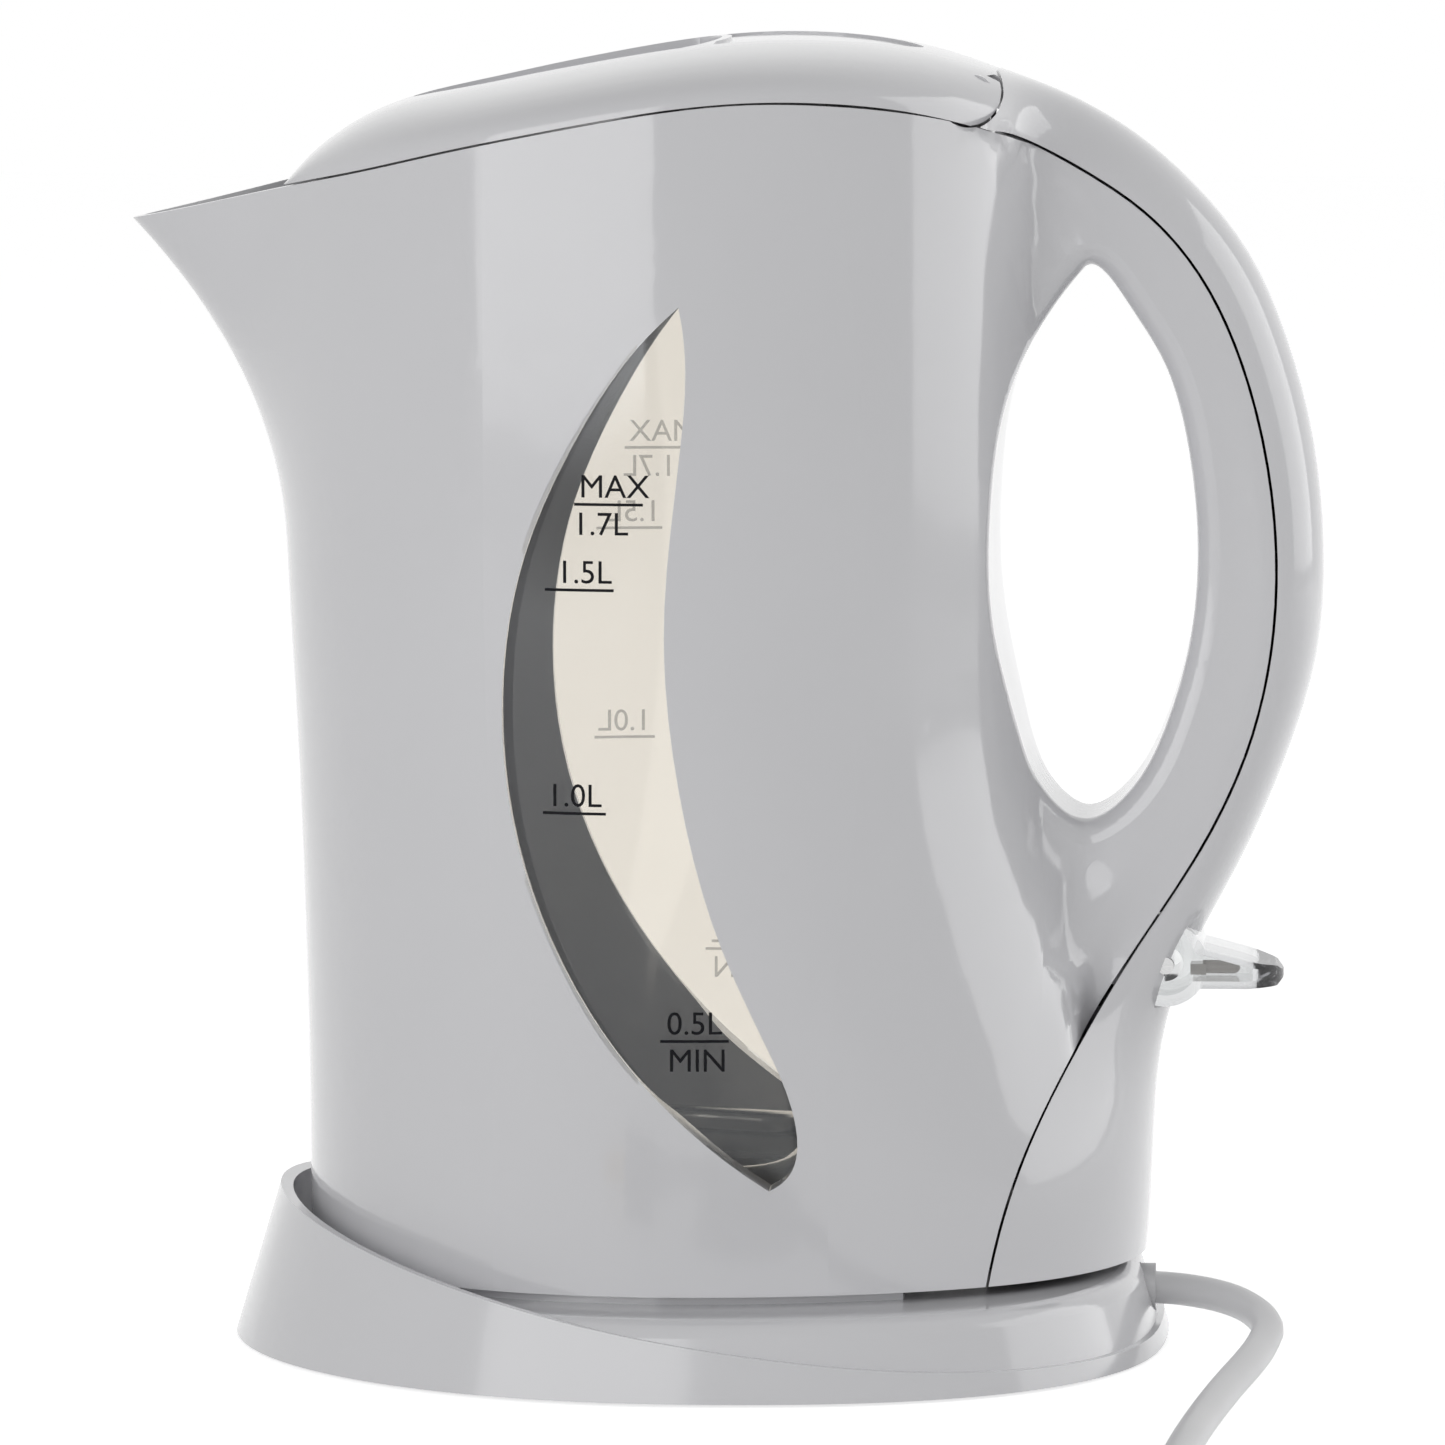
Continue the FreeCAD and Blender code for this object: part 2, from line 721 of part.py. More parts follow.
def bottom_cover():
    z0 = bottom_cover_z
    z1 = bottom_cover_z + bottom_cover_thickness
    plate = skin_solid(jug_wall + bottom_cover_margin)
    plate = plate.common(box(wall_rear_x + fit_clearance, far, -far, far, z0, z1))
    grow = shroud_wall + fit_clearance
    plate = plate.cut(box(inlet_x - inlet_half_depth - grow, inlet_x + inlet_half_depth + grow,
                          -inlet_half_width - grow, inlet_half_width + grow, -1, z1 + 1))
    for side in (-1, 1):
        y = side * cover_boss_y
        hole = screw_radius + screw_hole_clearance
        plate = plate.cut(rod(hole, (cover_boss_x, y, 0), (cover_boss_x, y, z1 + 1)))
    return plate


def bottom_screws():
    z = bottom_cover_z
    return Part.makeCompound([screw((cover_boss_x, side * cover_boss_y, z),
                                    (cover_boss_x, side * cover_boss_y, z + 10),
                                    screw_radius, screw_head_radius, screw_head_height) for side in (-1, 1)])


# Element, seal, control and connector pins

head_x = pad_x - seal_thickness - head_thickness


def element_head():
    plate = rod(head_radius, (head_x, 0, element_z), (head_x + head_thickness, 0, element_z))
    bosses = [rod(element_tube_radius + 1.2, (head_x - 5, side * element_tail_y, element_z),
                  (head_x + 0.5, side * element_tail_y, element_z)) for side in (-1, 1)]
    head = fuse([plate] + bosses)
    for side in (-1, 1):
        y = side * element_tail_y
        head = head.cut(rod(element_tube_radius, (head_x - 6, y, element_z), (head_x + 0.5, y, element_z)))
    for angle in screw_angles:
        y, z = around_head(angle)
        head = head.cut(rod(control_screw_radius, (head_x + 0.4, y, z), (pad_x, y, z)))
    return head


def element_seal():
    x0 = pad_x - seal_thickness
    return tube(seal_outer_radius, neck_radius + neck_clearance, (x0, 0, element_z), (pad_x, 0, element_z))


def element_coil():
    """Racket-shaped loop above the vessel floor, both tails rising to the head."""
    wide = jug_half_width - jug_wall - element_loop_margin
    centre = jug_centre_x - 4.0
    half = [(head_x + 0.5, element_tail_y, element_z), (head_x - 11, element_tail_y, element_z),
            (head_x - 22, element_tail_y + 8, element_loop_z + 3),
            (centre + 0.62 * wide, 0.74 * wide, element_loop_z),
            (centre, wide, element_loop_z), (centre - 0.72 * wide, 0.72 * wide, element_loop_z),
            (centre - wide, 0.3 * wide, element_loop_z)]
    path, _ = rounded_path(half + [(x, -y, z) for x, y, z in reversed(half)])
    return pipe(path, element_tube_radius)


def control_body():
    x1 = control_x + control_depth
    block = box(control_x, x1, -control_half_width, control_half_width, control_bottom_z, control_top_z)
    neck = tube(neck_radius, neck_radius - neck_wall, (head_x + head_thickness + 0.1, 0, element_z),
                (control_x + 1, 0, element_z))
    flange = rod(head_radius - 0.5, (control_x, 0, element_z), (control_x + 2.2, 0, element_z))
    wall = shroud_wall
    shroud = box(inlet_x - inlet_half_depth - wall, inlet_x + inlet_half_depth + wall,
                 -inlet_half_width - wall, inlet_half_width + wall, shroud_bottom_z, control_bottom_z)
    ring_x = control_x + steam_disc_radius + 1.6
    ring = tube(steam_disc_radius + 0.6, steam_disc_radius - 1.6, (ring_x, 0, control_top_z - 0.5),
                (ring_x, 0, control_top_z + steam_ring_height))
    control = fuse([block, neck, flange, shroud, ring])
    control = control.cut(box(inlet_x - inlet_half_depth, inlet_x + inlet_half_depth, -inlet_half_width,
                              inlet_half_width, shroud_bottom_z - 1, shroud_roof_z))
    for i in (-1, 0, 1):
        y = i * pin_pitch
        hole = pin_radius + screw_hole_clearance
        control = control.cut(rod(hole, (inlet_x, y, 0), (inlet_x, y, control_bottom_z + 4)))
    for angle in screw_angles:
        y, z = around_head(angle)
        hole = control_screw_radius + screw_hole_clearance
        control = control.cut(rod(hole, (control_x - 1, y, z), (control_x + 3, y, z)))
        control = control.cut(rod(screw_head_radius + 0.2, (control_x + 2.2, y, z), (x1 + 1, y, z)))
    reach = rod(pusher_radius + pusher_gap, (pusher_tip_x - pusher_gap, 0, pusher_z), (x1 + 1, 0, pusher_z))
    return control.cut(reach)


def control_screws():
    screws = []
    for angle in screw_angles:
        y, z = around_head(angle)
        screws.append(screw((control_x + 2.2, y, z), (head_x + 0.6, y, z), control_screw_radius,
                            screw_head_radius, screw_head_height))
    return Part.makeCompound(screws)


def boil_dry_disc():
    x0 = head_x + head_thickness + 0.2
    return rod(neck_radius - neck_wall - 0.2, (x0, 0, element_z), (x0 + disc_thickness, 0, element_z))


def steam_disc():
    x = control_x + steam_disc_radius + 1.6
    z = control_top_z + steam_ring_height
    return rod(steam_disc_radius, (x, 0, z), (x, 0, z + disc_thickness))


def inlet_pins():
    pins = []
    for i in (-1, 0, 1):
        y = i * pin_pitch
        shank = rod(pin_radius, (inlet_x, y, pin_tip_z + 1), (inlet_x, y, control_bottom_z + 3.8))
        tip = Part.makeCone(pin_radius - 0.8, pin_radius, 1, Vector(inlet_x, y, pin_tip_z))
        pins.append(shank.fuse(tip).removeSplitter())
    return Part.makeCompound(pins)


def steam_tube():
    path, _ = rounded_path([(x, 0, z) for x, z in steam_line])
    return pipe(path, steam_tube_radius).cut(pipe(path, steam_tube_radius - steam_tube_wall))


# Switch

pusher_z = lever_z - lever_arm
pusher_end_x = lever_x - lever_arm - 0.8 - pusher_gap
pusher_tip_x = pusher_end_x - pusher_length


def lever_profile(inset):
    """Side outline of the paddle: flat below, sloping above, blunt at the tip."""
    x0 = lever_x + 3.0
    x1 = lever_x + lever_reach - inset
    low = lever_z - lever_root_height / 2 - 0.3 + inset
    top = low + lever_root_height - 2 * inset
    tip = low + lever_tip_height - 2 * inset
    edge = min(1.2, (tip - low) / 3)
    rear = [(x1 - edge, low), (x1, low + edge), (x1, tip - edge), (x1 - edge, tip)]
    return polygon([(x0, low)] + rear + [(x0, top)])


def tongue(inset):
    """Plan of the paddle: straight sides and a round end."""
    wide = lever_half_width - lever_gap - inset
    end = lever_x + lever_reach - inset
    x1 = end - wide * 0.6
    arc = Part.Arc(Vector(x1, -wide, 0), Vector(end, 0, 0), Vector(x1, wide, 0)).toShape()
    corners = [Vector(x1, wide, 0), Vector(lever_x, wide, 0), Vector(lever_x, -wide, 0), Vector(x1, -wide, 0)]
    lines = [Part.makeLine(a, b) for a, b in zip(corners, corners[1:])]
    return Part.Face(Part.Wire([arc] + lines)).extrude(Vector(0, 0, far))


def switch_lever():
    wide = lever_half_width
    hub = pivot_rod(lever_hub_radius, -wide, wide)
    paddle = side_prism(lever_profile(0.0), wide).common(tongue(0.0))
    inside = side_prism(lever_profile(lever_wall), wide - lever_gap - lever_wall).common(tongue(lever_wall))
    core = pivot_rod(lever_hub_radius - lever_hub_wall, -wide + lever_cheek, wide - lever_cheek)
    lever = hub.fuse(paddle).cut(core).cut(inside)
    lever = lever.cut(box(lever_x - far, lever_x - 3.0, -wide + lever_cheek, wide - lever_cheek,
                          lever_z - far, lever_z + far))
    arm_x = lever_x - lever_arm
    outline = [(arm_x - 0.8, pusher_z - 1.6), (arm_x + 0.9, pusher_z - 1.6), (lever_x + 0.5, lever_z - 2.4),
               (lever_x - 1.2, lever_z + 0.6), (arm_x - 0.8, pusher_z + 2.6)]
    arm = side_prism(polygon(outline), lever_arm_width / 2)
    boss = pivot_rod(pivot_radius + 1.6, -wide + lever_cheek / 2, wide - lever_cheek / 2)
    lever = fuse([lever, arm, boss])
    return lever.cut(pivot_rod(pivot_radius + pivot_clearance, -far, far))


def pivot_pin():
    half = lever_half_width + lever_gap + pivot_reach
    return pivot_rod(pivot_radius, -half, half)


def contact_pusher():
    return rod(pusher_radius, (pusher_tip_x, 0, pusher_z), (pusher_end_x, 0, pusher_z))


def pilot_lamp():
    """Small bulb lying on the floor of the clear paddle, with its foot."""
    z = lever_z - lever_root_height / 2 - 0.3 + lever_wall + 0.2 + lamp_radius
    x0 = lever_x + lever_hub_radius - 1.0
    bulb = rod(lamp_radius, (x0, 0, z), (x0 + lamp_length, 0, z))
    end = Part.makeSphere(lamp_radius, Vector(x0 + lamp_length, 0, z))
    foot = box(x0 - 2.2, x0 + 0.6, -2.2, 2.2, z - lamp_radius, z + lamp_radius * 0.6)
    return fuse([bulb, end, foot])


# Lid

def lid_crest(x):
    """Height of the lid above the rim along its middle."""
    t = min(max((lid_front_x + lid_nose_length - x) / lid_nose_length, 0.0), 0.995)
    return lid_height * (1 - t ** lid_nose_power) ** (1 / lid_nose_power)


def lid_section(x, inset, rise):
    """Cap across the lid at x, closed by a straight lower edge on the rim."""
    wide = half_width(x, rim_z(x)) - inset
    base = rim_z(x) + lid_gap + rise
    height = max(lid_crest(x) - lid_gap - inset - rise, 0.4)
    count = 6
    points = []
    for i in range(-count, count + 1):
        a = math.pi / 2 * i / count
        y = wide * abs(math.sin(a)) ** (2 / lid_roundness) * (1 if i > 0 else -1)
        z = base + height * math.cos(a) ** (2 / lid_roundness) if abs(i) < count else base
        points.append(Vector(x, y if i else 0.0, z))
    arch = Part.BSplineCurve()
    arch.interpolate(Points=points, Parameters=[k / (2 * count) for k in range(2 * count + 1)])
    return Part.Wire([arch.toShape(), Part.makeLine(points[-1], points[0])])


lid_end_x = hinge_x + hinge_radius + 2.0


def lid_stations(start):
    nose = [start + step for step in (0.0, 1.2, 3.6, 7.5, 12.5, lid_nose_length)]
    count = 9
    return nose + [nose[-1] + (lid_end_x - nose[-1]) * (i + 1) / count for i in range(count)]


def lid_solid(inset, rise, start):
    return Part.makeLoft([lid_section(x, inset, rise) for x in lid_stations(start)], True, False)


def rear_trim(radius):
    """All of the lid's rear beyond a cylinder about the hinge axis."""
    block = box(hinge_x, far, -far, far, hinge_z - 4 * hinge_radius, hinge_z + 4 * hinge_radius)
    return block.cut(hinge_rod(radius, -far, far))


def leaf(front_length, rear_length, wide, z0, z1):
    """Upright prism of a leaf-shaped plan: two half ellipses on one widest line."""
    centre = scoop_rear_x - scoop_rear_length
    points = []
    for i in range(24):
        a = 2 * math.pi * i / 24
        length = rear_length if math.cos(a) > 0 else front_length
        points.append((centre + length * math.cos(a), wide * math.sin(a)))
    wire = plan_wire(points, z0, [i / 24 for i in range(25)])
    return Part.Face(wire).extrude(Vector(0, 0, z1 - z0))


def scoop(grow):
    """Finger scoop that deepens towards the rear and runs under its rear edge."""
    centre = scoop_rear_x - scoop_rear_length
    front_x = centre - scoop_front_length
    top = rim_z(scoop_rear_x) + lid_height
    start_z = rim_z(front_x) + lid_crest(front_x) - grow
    end_z = top - scoop_depth - grow
    slope = (end_z - start_z) / (scoop_rear_x - front_x)
    margin = 20.0
    wedge = side_prism(polygon([(front_x - margin, start_z - slope * margin),
                                (scoop_rear_x + margin, end_z + slope * margin),
                                (scoop_rear_x + margin, top + far), (front_x - margin, top + far)]), far)
    bowl = leaf(scoop_front_length + grow, scoop_rear_length + grow, scoop_half_width + grow, 0, top + far)
    bowl = bowl.common(wedge)
    wide = scoop_undercut_half_width + grow
    hook = box(centre, scoop_rear_x + scoop_undercut + grow, -wide, wide, end_z + 0.3,
               end_z + scoop_undercut_height + 2 * grow)
    return bowl.fuse(hook)


lid_posts = [(-46.0, 26.0), (-46.0, -26.0), (12.0, 34.0), (12.0, -34.0)]


def plate_top_z(x):
    return rim_z(x) - lid_plate_drop + lid_plate_wall


def rim_band(low, high):
    """Side-view band that follows the rim between two heights above it."""
    xs = [lid_plate_front_x + (lid_plate_rear_x - lid_plate_front_x) * i / 8 for i in range(9)]
    bottom = [(x, rim_z(x) + low) for x in xs]
    top = [(x, rim_z(x) + high) for x in reversed(xs)]
    corners = [Vector(p[0], 0, p[1]) for p in (bottom[0], bottom[-1], top[0], top[-1])]
    ends = [Part.makeLine(corners[1], corners[2]), Part.makeLine(corners[3], corners[0])]
    return side_prism([side_edge(bottom), ends[0], side_edge(top), ends[1]], far)


def lid_top():
    filled = lid_solid(0.0, 0.0, lid_front_x).cut(rear_trim(hinge_radius))
    void = lid_solid(lid_wall, -2.0, lid_front_x + lid_wall).cut(rear_trim(hinge_radius - lid_wall))
    shell = filled.cut(void)
    lowered = lid_solid(0.0, 0.0, lid_front_x)
    lowered.translate(Vector(0, 0, -pad_step))
    land = leaf(scoop_front_length, pad_length + scoop_rear_length, scoop_half_width,
                hinge_z - far, hinge_z + far)
    land = land.common(box(scoop_rear_x, far, -far, far, -far, 2 * far))
    shell = shell.cut(land.cut(lowered))
    pieces = [shell, scoop(scoop_wall).common(filled)]
    web_top = rim_z(hinge_x) + lid_height
    reach = (hinge_ear_width + knuckle_length) / 2
    for y in [side * hinge_ear_y + step * reach for side in (-1, 1) for step in (-1, 1)]:
        pieces.append(hinge_rod(knuckle_radius, y - knuckle_length / 2, y + knuckle_length / 2))
    seat = rim_band(-2 * lid_plate_drop, -lid_plate_drop + lid_plate_wall)
    for x, y in lid_posts:
        low = plate_top_z(x) - lid_plate_wall
        post = rod(lid_post_radius, (x, y, low), (x, y, web_top + far))
        below = box(x - 9, x + 9, y - 9, y + 9, low, rim_z(x) + lid_gap + 1.5)
        pieces.append(post.common(filled.fuse(below)).cut(seat))
    lid = fuse(pieces).cut(scoop(0.0))
    room = hinge_ear_radius + hinge_ear_gap
    for side in (-1, 1):
        y = side * hinge_ear_y
        half = hinge_ear_width / 2 + hinge_ear_gap
        lid = lid.cut(box(hinge_x - room, hinge_x + far, y - half, y + half, hinge_z - far, hinge_z + room))
    for x, y in lid_posts:
        lid = lid.cut(rod(lid_screw_radius, (x, y, plate_top_z(x) - 1), (x, y, plate_top_z(x) + 5.5)))
    bore = hinge_pin_radius + hinge_pin_clearance
    half = hinge_pin_length / 2 + hinge_pin_clearance
    for y in (-hinge_ear_y, hinge_ear_y):
        lid = lid.cut(hinge_rod(bore, y - half, y + half))
    return lid


def lid_under_plate():
    inset = jug_wall + lid_plate_clearance
    low = vessel_solid(inset, spout_start_z)
    plate = low.common(rim_band(-lid_plate_drop, 1.0))
    inner = vessel_solid(inset + lid_plate_wall, spout_start_z)
    plate = plate.cut(inner.common(rim_band(-lid_plate_drop + lid_plate_wall, 3.0)))
    for x, y in lid_posts:
        top = plate_top_z(x)
        plate = plate.cut(rod(lid_screw_radius + screw_hole_clearance, (x, y, top - 6), (x, y, top + 1)))
    return plate


def lid_screws():
    screws = []
    for x, y in lid_posts:
        z = min(rim_z(x - screw_head_radius), rim_z(x + screw_head_radius)) - lid_plate_drop
        tip = (x, y, plate_top_z(x) + 5.0)
        screws.append(screw((x, y, z), tip, lid_screw_radius, screw_head_radius, screw_head_height))
    return Part.makeCompound(screws)


def hinge_pins():
    half = hinge_pin_length / 2
    return Part.makeCompound([hinge_rod(hinge_pin_radius, side * hinge_ear_y - half,
                                        side * hinge_ear_y + half)
                              for side in (-1, 1)])


put("jug_body", jug_body())
put("water_window_left", water_window(-1))
put("water_window_right", water_window(1))
put("handle_cover", handle_cover())
put("jug_bottom_cover", bottom_cover())
put("jug_bottom_screws", bottom_screws())
put("element_head", element_head())
put("element_seal", element_seal())
put("element_coil", element_coil())
put("control_body", control_body())
put("control_screws", control_screws())
put("boil_dry_disc", boil_dry_disc())
put("steam_disc", steam_disc())
put("inlet_pins", inlet_pins())
put("steam_tube", steam_tube())
put("switch_lever", switch_lever())
put("switch_pivot_pin", pivot_pin())
put("contact_pusher", contact_pusher())
put("pilot_lamp", pilot_lamp())
put("lid_top", lid_top())
put("lid_under_plate", lid_under_plate())
put("lid_screws", lid_screws())
put("lid_hinge_pins", hinge_pins())


# Power base, heights from the table

base_front_x = (jug_centre_x - jug_front_reach - lip_gap - lip_wall - base_draft * lip_height)
base_rear_x = handle_line[-1][2] + base_rear_margin
base_centre_x = (base_front_x + base_rear_x) / 2
base_half_length = (base_rear_x - base_front_x) / 2
base_half_width = jug_half_width + base_side_margin
base_count = 24


def base_points(inset):
    """Plan of the base: round at the front, fuller at the rear."""
    points = []
    for i in range(base_count):
        a = 2 * math.pi * i / base_count
        power = base_rear_power if math.cos(a) > 0 else base_front_power
        x = math.copysign(abs(math.cos(a)) ** (2 / power), math.cos(a))
        y = math.copysign(abs(math.sin(a)) ** (2 / power), math.sin(a))
        points.append((base_centre_x + (base_half_length - inset) * x, (base_half_width - inset) * y))
    return points


base_spacing = spacing(base_points(0.0))


def base_cone(inset, z0, z1):
    """Solid of the base's plan between two heights, drawn in by the draft as it rises."""
    wires = [plan_wire(base_points(inset + base_draft * z), z, base_spacing) for z in (z0, z1)]
    return Part.makeLoft(wires, True, True)


def lip_prism():
    """Everything below the line that sweeps from the low rear skirt up to the front lip."""
    lip_front_x = base_front_x + base_draft * lip_height
    span = base_rear_x - lip_front_x
    line = []
    for i in range(11):
        x = lip_front_x - 15 + (span + 30) * i / 10
        rise = (lip_height - skirt_rear_height) * ((base_rear_x - x) / span) ** 2
        line.append((x, skirt_rear_height + rise))
    start = Vector(line[0][0], 0, line[0][1])
    end = Vector(line[-1][0], 0, line[-1][1])
    low_end = Vector(end.x, 0, -far)
    low_start = Vector(start.x, 0, -far)
    sides = [Part.makeLine(end, low_end), Part.makeLine(low_end, low_start), Part.makeLine(low_start, start)]
    return side_prism([side_edge(line)] + sides, far)


def top_edges(shape, z):
    return [edge for edge in shape.Edges
            if abs(edge.BoundBox.ZMin - z) < 1e-3 and abs(edge.BoundBox.ZMax - z) < 1e-3]


socket_half_depth = inlet_half_depth - socket_clearance
socket_half_width = inlet_half_width - socket_clearance
socket_top_z = jug_z + shroud_roof_z - socket_roof_gap
plate_z = base_clear_z + 0.2
plate_top = plate_z + plate_thickness
deck_z = base_top_z - base_wall


def seat_solid(inset, z0, z1, rear_x):
    """Upright block with the plan of the jug's bottom moved inwards, cut off straight at the rear."""
    block = Part.Face(plan_wire(skin_points(0.0, inset), z0, skin_spacing)).extrude(Vector(0, 0, z1 - z0))
    return block.common(box(-far, rear_x, -far, far, 0, far))


def base_cover():
    drum = base_cone(skirt_step, base_clear_z, base_top_z)
    drum = drum.makeFillet(base_top_round, top_edges(drum, base_top_z))
    drum = drum.cut(base_cone(skirt_step + base_wall, base_clear_z - 1, deck_z))
    ring = base_cone(0.0, base_clear_z, lip_height + 6)
    ring = ring.cut(base_cone(lip_wall, base_clear_z - 1, lip_height + 7))
    ring = ring.common(lip_prism())
    seat_top = jug_z + jug_floor_z - seat_gap
    seat = seat_solid(jug_wall + seat_clearance, deck_z + 0.5, seat_top, seat_rear_x)
    inner = seat_solid(jug_wall + seat_clearance + base_wall, base_clear_z, seat_top - base_wall,
                       seat_rear_x - base_wall)
    bosses = [tube(base_boss_radius, screw_radius, (x, y, plate_top), (x, y, deck_z + 0.5))
              for x, y in base_boss_places]
    bosses += [tube(3.0, screw_radius, (clamp_x, y, clamp_top_z), (clamp_x, y, deck_z + 0.5))
               for y in (-clamp_screw_y, clamp_screw_y)]
    cover = fuse([drum.fuse(ring).fuse(seat).cut(inner)] + bosses)
    gap = socket_clearance
    cover = cover.cut(box(inlet_x - socket_half_depth - gap, inlet_x + socket_half_depth + gap,
                          -socket_half_width - gap,
                          socket_half_width + gap, plate_top, far))
    return cover.cut(rod(bush_radius, (clamp_x, 0, cord_exit_z), (base_rear_x + 5, 0, cord_exit_z)))


clamp_top_z = cord_exit_z - 1.2
clamp_low_z = cord_exit_z - cord_radius - 2.0


def bottom_plate():
    inset = skirt_step + base_wall + fit_clearance
    wire = plan_wire(base_points(inset + base_draft * plate_top), plate_z, base_spacing)
    plate = Part.Face(wire).extrude(Vector(0, 0, plate_thickness))
    for x, y in base_boss_places:
        plate = plate.cut(rod(screw_radius + screw_hole_clearance, (x, y, 0), (x, y, plate_top + 1)))
        plate = plate.cut(rod(screw_head_radius + 0.2, (x, y, 0), (x, y, plate_z + 0.8)))
    return plate


def base_screws():
    return Part.makeCompound([screw((x, y, plate_z + 0.8), (x, y, deck_z - 1), screw_radius,
                                    screw_head_radius, 0.7)
                              for x, y in base_boss_places])


def base_feet():
    return Part.makeCompound([rod(foot_radius, (x, y, 0), (x, y, plate_z)) for x, y in foot_places])


contact_inner = pin_radius + contact_clearance
contact_outer = contact_inner + contact_wall
contact_top_z = jug_z + pin_tip_z + 4.0
contact_low_z = plate_top + 3.0


def socket_housing():
    block = box(inlet_x - socket_half_depth, inlet_x + socket_half_depth,
                -socket_half_width, socket_half_width,
                plate_top, socket_top_z)
    foot = box(inlet_x - socket_half_depth - 3, inlet_x + socket_half_depth + 2, -socket_half_width - 4,
               socket_half_width + 4, plate_top, plate_top + 2.5)
    housing = block.fuse(foot).removeSplitter()
    for i in (-1, 0, 1):
        y = i * pin_pitch
        low = (inlet_x, y, contact_low_z)
        housing = housing.cut(rod(contact_inner + 0.1, low, (inlet_x, y, socket_top_z + 1)))
        housing = housing.cut(rod(contact_outer + 0.05, low, (inlet_x, y, contact_top_z)))
    return housing


def socket_contacts():
    return Part.makeCompound([tube(contact_outer, contact_inner, (inlet_x, i * pin_pitch, contact_low_z),
                                   (inlet_x, i * pin_pitch, contact_top_z)) for i in (-1, 0, 1)])


def cord_bush():
    """Grommet in the rear wall, a thin flange on each side of it."""
    outside = base_rear_x - base_draft * cord_exit_z - skirt_step
    inside = outside - base_wall
    ends = [(x, 0, cord_exit_z) for x in (inside - bush_flange, outside + bush_flange)]
    body = rod(bush_radius - 0.1, ends[0], ends[1])
    return body.cut(rod(cord_radius, (0, 0, cord_exit_z), (far, 0, cord_exit_z)))


def cord_clamp():
    bridge = box(clamp_x - clamp_width / 2, clamp_x + clamp_width / 2, -clamp_half_length, clamp_half_length,
                 clamp_low_z, clamp_top_z)
    bridge = bridge.cut(rod(cord_radius, (0, 0, cord_exit_z), (far, 0, cord_exit_z)))
    for side in (-1, 1):
        y = side * clamp_screw_y
        bridge = bridge.cut(rod(screw_radius + screw_hole_clearance, (clamp_x, y, 0), (clamp_x, y, far)))
    return bridge


def clamp_screws():
    return Part.makeCompound([screw((clamp_x, side * clamp_screw_y, clamp_low_z),
                                    (clamp_x, side * clamp_screw_y, deck_z - 1),
                                    screw_radius, 2.2, 1.0) for side in (-1, 1)])


# Mains lead

coil_start = Vector(*cord_route[-1])
coil_centre = coil_start + Vector(-coil_radius, -2 * cord_radius, 0)
coil_turns = coil_in_turns + coil_climb_turns + coil_out_turns


def coil_point(turn):
    """Point of the coil after a number of turns: in on the table, up a layer, and out again."""
    inward = min(turn, coil_in_turns)
    outward = max(turn - coil_in_turns - coil_climb_turns, 0.0)
    radius = coil_radius - coil_pitch * (inward - outward)
    z = coil_layer_step * ease((turn - coil_in_turns) / coil_climb_turns)
    a = -2 * math.pi * turn
    return coil_centre + Vector(radius * math.cos(a), radius * math.sin(a), z)


def coil_tangent(turn):
    if turn in (0.0, coil_turns):
        a = -2 * math.pi * turn
        return Vector(math.sin(a), -math.cos(a), 0)
    return (coil_point(turn + 0.02) - coil_point(turn - 0.02)).normalize()


def cord_coil():
    quarters = [i / 4 for i in range(int(round(coil_turns * 4)) + 1)]
    edges = [Part.LineSegment(coil_start, coil_point(0.0)).toShape()]
    for a, b in zip(quarters, quarters[1:]):
        edges += biarc(coil_point(a), coil_tangent(a), coil_point(b), coil_tangent(b))
    end = coil_point(coil_turns)
    edges.append(Part.LineSegment(end, end + coil_tangent(coil_turns) * 2 * cord_radius).toShape())
    path = Part.Wire(edges)
    return pipe(path, cord_radius), path


def least_self_gap():
    """Smallest clear distance between stretches of the coil at least a third of a turn apart."""
    steps = [coil_turns * i / 400 for i in range(401)]
    points = [coil_point(t) for t in steps]
    least = min(points[i].distanceToPoint(points[j]) for i in range(401) for j in range(i)
                if steps[i] - steps[j] > 1 / 3)
    return least - 2 * cord_radius


def cord_tie():
    """Strap round both layers on the far side of the coil from where the lead comes in."""
    outer = coil_radius - coil_pitch * 0.5 + cord_radius + tie_clearance
    inner = coil_radius - coil_pitch - cord_radius - tie_clearance - 0.4
    low = coil_start.z - cord_radius - tie_clearance
    high = coil_start.z + coil_layer_step + cord_radius + tie_clearance
    x0 = coil_centre.x - outer
    x1 = coil_centre.x - inner
    y0 = coil_centre.y - tie_width / 2
    y1 = coil_centre.y + tie_width / 2
    band = box(x0 - tie_wall, x1 + tie_wall, y0, y1, low - tie_wall, high + tie_wall)
    return band.cut(box(x0, x1, y0 - 1, y1 + 1, low, high))


def plug_body():
    """Flat plug for three pins in a row, with a tapered boot for the lead."""
    x, y, z = tail_rise[-1]
    boot = Part.makeCone(cord_radius + 0.9, plug_boot_radius, plug_boot_length,
                         Vector(x, y, z), Vector(-1, 0, 0))
    neck_x = x - plug_boot_length + 1
    half = plug_width / 2
    block = box(neck_x - plug_length, neck_x, y - half, y + half, z - plug_height / 2, z + plug_height / 2)
    block = block.makeFillet(plug_edge, [e for e in block.Edges if abs(e.tangentAt(0).x) > 0.9])
    body = boot.fuse(block).removeSplitter()
    for i in (-1, 0, 1):
        pin_y = y + i * plug_pin_pitch
        face_x = neck_x - plug_length
        body = body.cut(rod(plug_pin_radius, (face_x - 1, pin_y, z), (face_x + 8, pin_y, z)))
    return body


